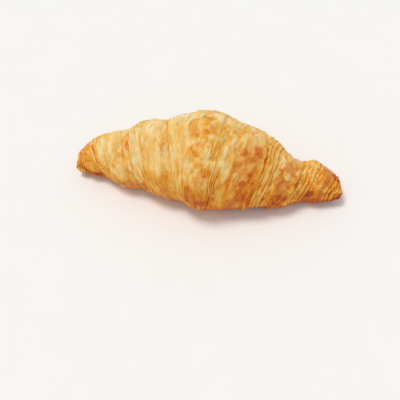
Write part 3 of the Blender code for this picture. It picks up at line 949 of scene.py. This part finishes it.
# %% [markdown]
# Welding joins the last row of each turn to the first row of the next, and
# gathers the columns that ran together at the tips and at the tongue. The sole
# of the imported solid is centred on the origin, so the finer crust is moved by
# the same rule: middle of the footprint over the origin.

# %% Weld and place
WELD = 0.02 * MM


def weld(mesh):
    work = bmesh.new()
    work.from_mesh(mesh)
    bmesh.ops.remove_doubles(work, verts=work.verts, dist=WELD)
    bmesh.ops.dissolve_degenerate(work, edges=work.edges, dist=WELD)
    bmesh.ops.triangulate(work, faces=work.faces)
    bmesh.ops.recalc_face_normals(work, faces=work.faces)
    open_edges = sum(1 for edge in work.edges if len(edge.link_faces) != 2)
    work.to_mesh(mesh)
    work.free()
    return open_edges


print("edges without two faces after welding:", weld(crust_shape))
low_corner, high_corner = (np.array(corner) for corner in cad_box)
crust_places = np.array([vert.co for vert in crust_shape.vertices])
footprint = (crust_places.min(axis=0) + crust_places.max(axis=0)) / 2
to_place = (low_corner + high_corner) / 2 - footprint
to_place[2] = 0.0
crust_shape.transform(Matrix.Translation(to_place))
print("moved by, mm:", (to_place / MM).round(2))

# %% [markdown]
# At the very tips the columns of the last turn come closer together than the
# weld reaches, and a few faces fold over each other there. They could be hidden
# by a cap, but a closed mesh is easy to have: the tangled faces are cut out,
# and the small hole that they leave is filled.

# %% Mend the tips
def odd_edges(work):
    """Edges that don't lie between exactly two faces."""
    return [edge for edge in work.edges if len(edge.link_faces) != 2]


def mend(mesh):
    """Cut out tangled faces with their neighbours, and fill the holes."""
    work = bmesh.new()
    work.from_mesh(mesh)
    tangled = {vert for edge in odd_edges(work) for vert in edge.verts}
    tangled |= {edge.other_vert(vert) for vert in tangled for edge in vert.link_edges}
    cut_out = [face for face in work.faces if not tangled.isdisjoint(face.verts)]
    bmesh.ops.delete(work, geom=cut_out, context="FACES")
    bmesh.ops.delete(work, geom=[vert for vert in work.verts if not vert.link_faces],
                     context="VERTS")
    bmesh.ops.holes_fill(work, edges=odd_edges(work), sides=0)
    bmesh.ops.triangulate(work, faces=[face for face in work.faces if len(face.verts) > 3])
    bmesh.ops.recalc_face_normals(work, faces=work.faces)
    still_odd = len(odd_edges(work))
    work.to_mesh(mesh)
    work.free()
    return still_odd


print("edges without two faces after mending:", mend(crust_shape))
crust_shape.shade_smooth()
crust_piece = bpy.data.objects.new("croissant_crust", crust_shape)
bpy.context.scene.collection.objects.link(crust_piece)
print("crust:", len(crust_shape.polygons), "triangles")

# %% [markdown]
# ## Sheets that lifted
# Along a cut side the topmost sheets let go of each other and curl up: thin,
# crisp ribbons, rooted along their back edge and free along the front one.
# They could be pulled out of the crust mesh, but a ribbon with air under it
# needs its own underside. So each is a thin slab with its own two faces and a
# rim, rooted in the crust and reaching out towards the tip.

# %% A thin slab
def slab(grid, normals, thickness):
    """Closed thin body under a grid of points: both faces, and a rim all round."""
    rows, columns = grid.shape[:2]
    points = np.concatenate([grid.reshape(-1, 3), (grid - normals * thickness).reshape(-1, 3)])
    below = rows * columns
    number = np.arange(below).reshape(rows, columns)
    top = grid_faces(rows, columns, 0, False)
    rim = np.concatenate([number[0, :-1], number[:-1, -1], number[-1, :0:-1], number[:0:-1, 0]])
    following = np.roll(rim, -1)
    walls = np.stack([rim, rim + below, following + below, following], axis=-1)
    return points, np.concatenate([top, top[:, ::-1] + below, walls])


def for_both_faces(values):
    """A grid's numbers or vectors, for the upper and then for the lower points of its slab."""
    if values.ndim == 2:
        return np.tile(values.ravel(), 2)
    return np.tile(values.reshape(-1, 3), (2, 1))


def joined_piece(name, slabs):
    """One piece from many slabs; each is its points, its faces and its values."""
    counts = np.cumsum([0] + [len(points) for points, _, _ in slabs])
    mesh = bpy.data.meshes.new(name)
    faces = [found + first for (_, found, _), first in zip(slabs, counts)]
    mesh.from_pydata(np.concatenate([s[0] for s in slabs]).tolist(), [],
                     np.concatenate(faces).tolist())
    for value in slabs[0][2]:
        put_attribute(mesh, value, np.concatenate([for_both_faces(s[2][value]) for s in slabs]))
    weld(mesh)
    mesh.transform(Matrix.Translation(to_place))
    mesh.shade_smooth()
    piece = bpy.data.objects.new(name, mesh)
    bpy.context.scene.collection.objects.link(piece)
    print(name + ":", len(slabs), "in all,", len(mesh.polygons), "triangles")
    return piece


# %% Frayed edges
fray = Unevenness(61)


def frayed(side, back, degrees, row):
    """How far a torn edge wanders along a seam; each row of the field is another edge."""
    return fray(strip_place(side, back / degrees, row))


def toward_tip(side, along, angle, step=0.2 * MM):
    """Unit vector along the plain roll towards its tip."""
    ahead = plain_point(along + step, angle) - plain_point(along - step, angle)
    return side * ahead / np.linalg.norm(ahead, axis=-1, keepdims=True)


print("towards the right tip:", toward_tip(1, np.float64(0.05), np.float64(180.0)).round(2))

# %% One lifted sheet
SHEET_THICKNESS = 0.18 * MM
SHEET_ABOVE, SHEET_ABOVE_FLOOR = 0.10 * MM, 0.5 * MM
RIBBON_STEP = 1.6
RIBBON_COLUMNS = 5
RIBBON_ROOT = 0.55
RIBBON_ENDS = 0.6
TORN_FINE, TORN_WIDE, TORN_WIDE_ROW, TORN = 2.2, 6.0, 7.0, 0.25
LIFT_WAVES, LIFT_ROW, LIFT_VARIES, LIFT_CURVE = 11.0, 3.0, 0.5, 1.7
RIBBON_PALER, RIM_DARKER, RIM_CURVE = 0.10, 0.16, 3
RIBBON_FILM, RIBBON_ROSY = 0.25, 0.25
RIBBON_STREAKS = 3.0


def lifted_sheet(side, back_from, degrees, sheet, reach, lift, row):
    """A ribbon of one sheet that has let go along its front edge."""
    back = back_from + np.linspace(0.0, degrees, int(degrees / RIBBON_STEP) + 3)[:, None]
    inner, outer = seam_reach(side, back), seam_reach(side, back + 360.0)
    cut = cut_width(side, back, outer - inner)
    root = crust(side, back, inner, outer, cut * (sheet + RIBBON_ROOT) / SHEETS)
    along, angle = root["along"], root["angle"]
    ends = np.sin(np.pi * np.linspace(0.0, 1.0, len(back)))[:, None] ** RIBBON_ENDS
    torn = frayed(side, back, TORN_FINE, row) + frayed(side, back, TORN_WIDE, row + TORN_WIDE_ROW)
    wide = reach * ends * (1.0 + TORN * torn)
    raised = lift * ends * (1.0 + LIFT_VARIES * frayed(side, back, LIFT_WAVES, row + LIFT_ROW))
    out = np.linspace(0.0, 1.0, RIBBON_COLUMNS)
    normal = outward(along, angle)
    grid = (root["points"] + toward_tip(side, along, angle) * (wide * out)[..., None]
            + normal * (raised * out ** LIFT_CURVE + SHEET_ABOVE)[..., None])
    grid[..., 2] = np.maximum(grid[..., 2], SHEET_ABOVE_FLOOR)
    points, faces = slab(grid, np.broadcast_to(normal, grid.shape), SHEET_THICKNESS)
    shown = np.broadcast_to(bake_and_painted_light(root), grid.shape[:2]) - RIBBON_PALER + RIM_DARKER * out ** RIM_CURVE
    strip = np.broadcast_to(root["strip"], grid.shape).copy()
    strip[..., 1] = strip[..., 1] + row + RIBBON_STREAKS * out
    return points, faces, {"bake_and_painted_light": np.clip(shown, 0.0, 1.0), "film": np.full_like(shown, RIBBON_FILM),
                           "rosy": np.full_like(shown, RIBBON_ROSY), "strip": strip}


# %% All lifted sheets
RIBBONS = 64
chance = np.random.default_rng(17)
ribbons = []
for count in range(RIBBONS):
    side = -1 if count % 2 else 1
    turn = int(chance.choice([-1, 0, 0, 1, 1, 2]))
    over = chance.uniform(120.0, 300.0)
    degrees = chance.uniform(18.0, 70.0)
    back_from = max(TONGUE_ANGLE - over + 360.0 * turn - degrees / 2, -300.0)
    ribbons.append(lifted_sheet(side, back_from, degrees, int(chance.integers(0, SHEETS)),
                                chance.uniform(0.4, 1.1) * MM, chance.uniform(0.06, 0.32) * MM,
                                count))
sheets_piece = joined_piece("croissant_lifted_sheets", ribbons)

# %% [markdown]
# ## Loose flakes
# The outer film shatters when it cools. Scraps of it stay on the crust, longer
# round the roll than across it, a little curled, touching only in places. Each
# is a square grid pressed into a ragged disc and bent over the roll. They are
# scattered by a seeded draw, more of them on the upper side, which is dry,
# than low down.

# %% Where a place on the roll lies on the dough
def on_the_dough(side, along, angle):
    """The crust at a place along and round the roll, found on whichever turn shows there."""
    reach = np.maximum(side * along, 0.0)
    back = np.mod(TONGUE_ANGLE - angle, 360.0) - 360.0
    for _ in range(TURNS):
        back = np.where(seam_reach(side, back + 360.0) <= reach, back + 360.0, back)
    inner, outer = seam_reach(side, back), seam_reach(side, back + 360.0)
    return crust(side, back, inner, outer, np.clip(outer - reach, 0.0, outer - inner))


# %% [markdown]
# A flake is drawn on a square of numbers from -1 to 1. Pressing the square into
# a disc keeps its rows even, a field read round the rim makes the outline
# ragged, and the two ends are narrowed to points. Most of the height of the
# crust under it is followed, so that it bridges the small hollows.

# %% One flake
FLAKE_THICKNESS = 0.12 * MM
FLAKE_ROWS = 9
FLAKE_RAGGED = ((0.35, 1.0), (0.22, 2.7))       # share of the size, and how much finer
RAGGED_ROUND = 1.6
FLAKE_POINTED, FLAKE_POINTED_CURVE = 0.6, 1.5
FLAKE_CLEAR, FLAKE_TIP_MARGIN, FLAKE_MIDDLE_MARGIN = 2.0 * MM, 2 * MM, 0.1 * MM
FLAKE_BRIDGES = 0.15
FLAKE_ABOVE, FLAKE_ABOVE_FLOOR = 0.06 * MM, 0.4 * MM
FLAKE_RIM_DARKER, FLAKE_FILM, FLAKE_ROSY = 0.10, 0.8, 0.8


def loose_flake(along, angle, length, width, lean, curl, darker, seed):
    """A scrap of the outer film, longer round the roll than across it."""
    side = 1 if along > 0 else -1
    even = np.linspace(-1, 1, FLAKE_ROWS)
    u, v = np.meshgrid(even, even, indexing="ij")
    round_u, round_v = u * np.sqrt(1 - v * v / 2), v * np.sqrt(1 - u * u / 2)
    way = np.arctan2(round_v, round_u)
    rim = np.stack([RAGGED_ROUND * np.cos(way) + seed, RAGGED_ROUND * np.sin(way), 0 * way], axis=-1)
    size = 1.0 + sum(share * fray(rim * finer) for share, finer in FLAKE_RAGGED)
    pointed = 1.0 - FLAKE_POINTED * np.abs(round_u) ** FLAKE_POINTED_CURVE
    across = round_v * size * width / 2 * pointed
    around = round_u * size * length / 2
    radius = float(body_sizes(along)[0]) + FLAKE_CLEAR
    angles = angle + np.degrees(around / radius)
    alongs = np.clip(along + across + lean * around, LEFT_TIP + FLAKE_TIP_MARGIN,
                     RIGHT_TIP - FLAKE_TIP_MARGIN)
    plain, normal = plain_point(alongs, angles), outward(alongs, angles)
    under = on_the_dough(side, np.clip(side * alongs, FLAKE_MIDDLE_MARGIN, None) * side, angles)
    stands = np.sum((under["points"] - plain) * normal, axis=-1)
    bent = stands + FLAKE_BRIDGES * (stands.mean() - stands) + curl * np.clip(round_v, 0, 1) ** 2
    grid = plain + normal * (bent + FLAKE_ABOVE)[..., None]
    grid[..., 2] = np.maximum(grid[..., 2], FLAKE_ABOVE_FLOOR)
    points, faces = slab(grid, normal, FLAKE_THICKNESS)
    to_rim = np.maximum(abs(u), abs(v)) - 0.5
    shown = np.clip(bake_and_painted_light(under) + darker + FLAKE_RIM_DARKER * to_rim, 0.0, 1.0)
    return points, faces, {"bake_and_painted_light": shown, "film": np.full_like(shown, FLAKE_FILM),
                           "rosy": FLAKE_ROSY * rosiness(under),
                           "strip": under["strip"] + np.array([0.0, seed, 0.0])}


# %% All flakes
FLAKES = 76
chance = np.random.default_rng(29)
flakes = []
for count in range(FLAKES):
    along = chance.choice([-1, 1]) * chance.uniform(0.002, 0.080)
    angle = 185.0 + chance.normal(0.0, 42.0)
    room = float(body_sizes(along)[0]) / FULL_HALF_WIDTH
    length = chance.uniform(4.0, 9.0) * MM * (0.4 + 0.6 * room)
    flakes.append(loose_flake(along, angle, length, length * chance.uniform(0.25, 0.50),
                              chance.normal(0.0, 0.2), chance.uniform(0.05, 0.45) * MM,
                              chance.normal(-0.04, 0.08), count))
flakes_piece = joined_piece("croissant_flakes", flakes)

# %% [markdown]
# ## Colour from the oven
# Three finishes share the same few effects: the crust, the lifted sheets and
# the flakes. So each effect is a node group with named inputs, built once.
# A short helper adds a node, sets its values and draws its links, which keeps
# the groups below readable.

# %% Node helpers
def linear(red, green, blue):
    """Screen colour, 0 to 255, as the linear colour that a shader takes."""
    parts = [value / 255.0 for value in (red, green, blue)]
    return [p / 12.92 if p <= 0.04045 else ((p + 0.055) / 1.055) ** 2.4 for p in parts] + [1.0]


def add_node(tree, kind, inputs=None, **settings):
    """A new node; inputs gives its sockets values, or other nodes' outputs to link."""
    made = tree.nodes.new(kind)
    for name, value in settings.items():
        setattr(made, name, value)
    for socket, value in (inputs or {}).items():
        if isinstance(value, bpy.types.NodeSocket):
            tree.links.new(value, made.inputs[socket])
        else:
            made.inputs[socket].default_value = value
    return made


def math_node(tree, operation, first, second, third=None, clamp=False):
    """A math node's output, from values or other outputs."""
    inputs = {0: first, 1: second}
    if third is not None:
        inputs[2] = third
    return add_node(tree, "ShaderNodeMath", inputs, operation=operation, use_clamp=clamp).outputs[0]


def new_group(name, inputs, outputs):
    """A node group with named sockets, and the two nodes that stand for its ends."""
    group = bpy.data.node_groups.new(name, "ShaderNodeTree")
    for socket, kind, value in inputs:
        made = group.interface.new_socket(socket, in_out="INPUT", socket_type="NodeSocket" + kind)
        if value is not None:
            made.default_value = value
    for socket, kind in outputs:
        group.interface.new_socket(socket, in_out="OUTPUT", socket_type="NodeSocket" + kind)
    return group, group.nodes.new("NodeGroupInput"), group.nodes.new("NodeGroupOutput")


def colour_ramp(tree, amount, stops):
    """A colour ramp's output over stops of place and screen colour."""
    ramp = add_node(tree, "ShaderNodeValToRGB", {"Fac": amount})
    while len(ramp.color_ramp.elements) < len(stops):
        ramp.color_ramp.elements.new(1.0)
    for element, (place, colour) in zip(ramp.color_ramp.elements, stops):
        element.position = place
        element.color = linear(*colour)
    return ramp.outputs["Color"]


def mix_colours(tree, amount, first, second, way="MIX"):
    """The colour output of a mix node; 0, 6 and 7 are its factor and its two colours."""
    mix = add_node(tree, "ShaderNodeMix", {0: amount, 6: first, 7: second},
                   data_type="RGBA", blend_type=way)
    return mix.outputs[2]


print("white, as a shader takes it:", linear(255, 255, 255))

# %% [markdown]
# ### Oven colour
# Baking takes dough from cream over straw and gold to orange-brown. The
# egg-washed film goes another way: it turns tan and then a warm, slightly rosy
# brown. So the group holds two ramps and a mask that says which one rules.

# %% Oven colour group
DOUGH_STOPS = (
    (0.00, (246, 221, 167)), (0.20, (243, 209, 138)), (0.40, (238, 188, 92)),
    (0.60, (231, 153, 38)), (0.80, (210, 105, 8)), (1.00, (156, 62, 0)),
)
FILM_STOPS = (
    (0.00, (244, 221, 170)), (0.20, (241, 205, 142)), (0.40, (234, 178, 97)),
    (0.60, (224, 142, 54)), (0.80, (198, 99, 24)), (1.00, (140, 56, 8)),
)

oven_colour, given, result = new_group(
    "oven_colour",
    [("Bake", "Float", 0.4), ("Rosy", "Float", 0.0)],
    [("Color", "Color")])
dough_side = colour_ramp(oven_colour, given.outputs["Bake"], DOUGH_STOPS)
film_side = colour_ramp(oven_colour, given.outputs["Bake"], FILM_STOPS)
both = mix_colours(oven_colour, given.outputs["Rosy"], dough_side, film_side)
oven_colour.links.new(both, result.inputs["Color"])
print("oven colour:", len(DOUGH_STOPS), "stops on each ramp")

# %% [markdown]
# ### Dough streaks
# Under the film the dough is drawn out into threads that run round the roll
# with the seams. The mesh carries strip coordinates: millimetres across the
# dough, and turns round the roll. Noise that is squeezed along the first and
# stretched along the second makes threads that wind exactly as the dough does.

# %% Dough streaks group
STREAK_FINENESS = 0.8

dough_streaks, given, result = new_group(
    "dough_streaks",
    [("Strip", "Vector", None), ("Fineness", "Float", STREAK_FINENESS)],
    [("Streak", "Float"), ("Thread", "Float")])
apart = add_node(dough_streaks, "ShaderNodeSeparateXYZ", {"Vector": given.outputs["Strip"]})
cross_way = math_node(dough_streaks, "MULTIPLY", apart.outputs["X"], given.outputs["Fineness"])
drawn = add_node(dough_streaks, "ShaderNodeCombineXYZ",
                 {"X": cross_way, "Y": apart.outputs["Y"], "Z": apart.outputs["Z"]}).outputs[0]
for output_name, scale, detail, roughness in (("Streak", 1.0, 3.0, 0.6), ("Thread", 3.1, 2.0, 0.5)):
    noise = add_node(dough_streaks, "ShaderNodeTexNoise",
                     {"Vector": drawn, "Scale": scale, "Detail": detail, "Roughness": roughness})
    dough_streaks.links.new(noise.outputs["Fac"], result.inputs[output_name])
print("streaks, mm wide:", round(1 / STREAK_FINENESS, 2))

# %% [markdown]
# ### Blistered skin
# Heat raises tiny blisters, and each browns at its top. Two scales of noise in
# the object's own coordinates do it: spots a few millimetres wide, and a grain
# of about one millimetre that breaks up the gloss.

# %% Blistered skin group
SPOT_SIZE, GRAIN_SIZE = 0.0035, 0.0013

blistered_skin, given, result = new_group(
    "blistered_skin",
    [("Spot Size", "Float", SPOT_SIZE), ("Grain Size", "Float", GRAIN_SIZE)],
    [("Spots", "Float"), ("Grain", "Float")])
place = add_node(blistered_skin, "ShaderNodeTexCoord").outputs["Object"]
for size_name, output_name, detail in (("Spot Size", "Spots", 2.0), ("Grain Size", "Grain", 3.0)):
    scale = math_node(blistered_skin, "DIVIDE", 1.0, given.outputs[size_name])
    noise = add_node(blistered_skin, "ShaderNodeTexNoise",
                     {"Vector": place, "Scale": scale, "Detail": detail, "Roughness": 0.55})
    blistered_skin.links.new(noise.outputs["Fac"], result.inputs[output_name])
print("blister spots and grain, mm:", round(SPOT_SIZE / MM, 1), round(GRAIN_SIZE / MM, 1))

# %% [markdown]
# ### Egg-wash gloss
# Brushed egg dries to a thin varnish. Where the film is whole it is smooth, and
# where it has flaked away the dough is nearly matt. The group turns the film
# mask into a roughness between those two, and the grain makes it uneven.

# %% Egg-wash gloss group
GLOSSY, MATT = 0.34, 0.62
GRAIN_ROUGHENS = 0.24

egg_wash, given, result = new_group(
    "egg_wash_gloss",
    [("Film", "Float", 0.0), ("Grain", "Float", 0.5), ("Glossy", "Float", GLOSSY),
     ("Matt", "Float", MATT)],
    [("Roughness", "Float")])
span = math_node(egg_wash, "SUBTRACT", given.outputs["Glossy"], given.outputs["Matt"])
toward = math_node(egg_wash, "MULTIPLY_ADD", given.outputs["Film"], span, given.outputs["Matt"])
uneven = math_node(egg_wash, "MULTIPLY_ADD", given.outputs["Grain"], GRAIN_ROUGHENS,
                   -GRAIN_ROUGHENS / 2)
egg_wash.links.new(math_node(egg_wash, "ADD", toward, uneven, clamp=True),
                   result.inputs["Roughness"])
print("roughness of the plain group: from", GLOSSY, "to", MATT)

# %% [markdown]
# ## The three finishes
# Each finish places the same groups with its own values. The crust reads all of
# its masks. The lifted sheets are thin, so more light passes through them. The
# flakes are mostly film, so they are glossier than the dough under them.

# %% A dough material
FILM_CALMS = 0.7
THREADS_IN_COLOUR, THREADS_IN_RELIEF = 0.5, 0.6
RELIEF_STRENGTH, RELIEF_HEIGHT = 0.35, 0.25 * MM
LIGHT_REACH, LIGHT_REACH_BY_COLOUR = 1.2 * MM, (1.0, 0.5, 0.25)
EGG_IOR, EGG_SHINE = 1.45, 0.28


def place_group(tree, group, inputs):
    """A node group placed in a material, with its own values or links."""
    return add_node(tree, "ShaderNodeGroup", inputs, node_tree=group)


def read_value(tree, name, output="Fac"):
    """A value that the mesh carries, by its name."""
    return add_node(tree, "ShaderNodeAttribute", attribute_name=name).outputs[output]


def dough_material(name, streak_share, spot_share, glossy, matt, through):
    """A baked finish: colours by bake, with its painted shade and highlights, streaks and spots;
    gloss by film; fine bump.
    """
    material = bpy.data.materials.new(name)
    material.use_nodes = True
    tree = material.node_tree
    film = read_value(tree, "film")
    streaks = place_group(tree, dough_streaks, {"Strip": read_value(tree, "strip", "Vector")})
    skin = place_group(tree, blistered_skin, {})
    uneven = 0.0
    for field, share in ((streaks.outputs["Streak"], streak_share),
                         (streaks.outputs["Thread"], THREADS_IN_COLOUR * streak_share),
                         (skin.outputs["Spots"], spot_share),
                         (skin.outputs["Grain"], spot_share)):
        centred = math_node(tree, "SUBTRACT", field, 0.5)
        uneven = math_node(tree, "MULTIPLY_ADD", centred, share, uneven)
    calm = math_node(tree, "MULTIPLY_ADD", film, -FILM_CALMS, 1.0)
    amount = math_node(tree, "MULTIPLY_ADD", uneven, calm, read_value(tree, "bake_and_painted_light"))
    colour = place_group(tree, oven_colour, {"Bake": amount, "Rosy": read_value(tree, "rosy")})
    gloss = place_group(tree, egg_wash, {"Film": film, "Grain": skin.outputs["Grain"],
                                         "Glossy": glossy, "Matt": matt})
    relief = math_node(tree, "MULTIPLY_ADD", streaks.outputs["Thread"], THREADS_IN_RELIEF,
                       skin.outputs["Grain"])
    bump = add_node(tree, "ShaderNodeBump", {"Height": relief, "Strength": RELIEF_STRENGTH,
                                             "Distance": RELIEF_HEIGHT})
    shader = tree.nodes["Principled BSDF"]
    tree.links.new(colour.outputs["Color"], shader.inputs["Base Color"])
    tree.links.new(gloss.outputs["Roughness"], shader.inputs["Roughness"])
    tree.links.new(bump.outputs["Normal"], shader.inputs["Normal"])
    shader.inputs["Subsurface Weight"].default_value = through
    shader.inputs["Subsurface Radius"].default_value = LIGHT_REACH_BY_COLOUR
    shader.inputs["Subsurface Scale"].default_value = LIGHT_REACH
    shader.inputs["IOR"].default_value = EGG_IOR
    shader.inputs["Specular IOR Level"].default_value = EGG_SHINE
    return material


# %% Dress the three pieces
FINISHES = (    # piece, name, streaks, spots, glossy, matt, light passing
    (crust_piece, "baked_crust", 0.60, 0.22, 0.28, 0.62, 0.20),
    (sheets_piece, "lifted_sheets", 0.35, 0.25, 0.40, 0.60, 0.25),
    (flakes_piece, "loose_flakes", 0.35, 0.30, 0.30, 0.50, 0.20),
)
for piece, name, *values in FINISHES:
    piece.data.materials.append(dough_material(name, *values))
    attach(piece, "root")
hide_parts("croissant")
print("finishes:", [name for _, name, *_ in FINISHES])

# %% [markdown]
# ## Floor and light
# A plain pale floor and soft studio light leave all the attention to the crust.
# The light in the photograph comes from above, from behind and from the left.
# A lamp close by would fall off along the croissant, so this one shines from a
# distance, like a sun with a wide disc that keeps its shadows soft. A white
# surround, brighter near the horizon, fills the shadows.

# %% Floor
FLOOR_SIZE = 6.0
FLOOR_STOPS = ((0.0, (247, 246, 244)), (1.0, (250, 249, 248)))
FLOOR_MOTTLING = 30.0
FLOOR_ROUGHNESS, FLOOR_SHINE = 0.8, 0.2

floor_mesh = bpy.data.meshes.new("floor")
corners = [(x * FLOOR_SIZE / 2, y * FLOOR_SIZE / 2, 0)
           for x, y in ((-1, -1), (1, -1), (1, 1), (-1, 1))]
floor_mesh.from_pydata(corners, [], [(0, 1, 2, 3)])
floor = bpy.data.objects.new("floor", floor_mesh)
bpy.context.scene.collection.objects.link(floor)
floor_finish = bpy.data.materials.new("pale_floor")
floor_finish.use_nodes = True
floor_tree = floor_finish.node_tree
floor_place = add_node(floor_tree, "ShaderNodeTexCoord").outputs["Object"]
floor_noise = add_node(floor_tree, "ShaderNodeTexNoise",
                       {"Vector": floor_place, "Scale": FLOOR_MOTTLING})
floor_shader = floor_tree.nodes["Principled BSDF"]
floor_tree.links.new(colour_ramp(floor_tree, floor_noise.outputs["Fac"], FLOOR_STOPS),
                     floor_shader.inputs["Base Color"])
floor_shader.inputs["Roughness"].default_value = FLOOR_ROUGHNESS
floor_shader.inputs["Specular IOR Level"].default_value = FLOOR_SHINE
floor_mesh.materials.append(floor_finish)
print("floor, m:", FLOOR_SIZE)

# %% Light
HORIZON, ZENITH = (0.05, 0.86), (0.6, 0.50)     # how far up, and how bright there
LAMP_STRENGTH = 1.50
LAMP_SOFTNESS = math.radians(22.0)
LAMP_COLOUR = (1.0, 0.985, 0.96)
LAMP_TOWARD = Vector((-0.42, 0.16, 1.20))

world = bpy.data.worlds.new("studio")
world.use_nodes = True
sky = world.node_tree
toward_sky = add_node(sky, "ShaderNodeTexCoord").outputs["Generated"]
upward = add_node(sky, "ShaderNodeSeparateXYZ", {"Vector": toward_sky}).outputs["Z"]
brightness = add_node(sky, "ShaderNodeMapRange", {
    "Value": upward, "From Min": HORIZON[0], "To Min": HORIZON[1],
    "From Max": ZENITH[0], "To Max": ZENITH[1]})
sky.nodes["Background"].inputs["Color"].default_value = linear(255, 255, 255)
sky.links.new(brightness.outputs["Result"], sky.nodes["Background"].inputs["Strength"])
bpy.context.scene.world = world

lamp_data = bpy.data.lights.new("soft_lamp", "SUN")
lamp_data.energy = LAMP_STRENGTH
lamp_data.angle = LAMP_SOFTNESS
lamp_data.color = LAMP_COLOUR
lamp = bpy.data.objects.new("soft_lamp", lamp_data)
lamp.location = LAMP_TOWARD
lamp.rotation_euler = (-LAMP_TOWARD).to_track_quat("-Z", "Y").to_euler()
bpy.context.scene.collection.objects.link(lamp)
bpy.context.scene.view_settings.view_transform = "Standard"
print("lamp looks down", round(math.degrees(math.asin(LAMP_TOWARD.normalized().z))), "degrees")
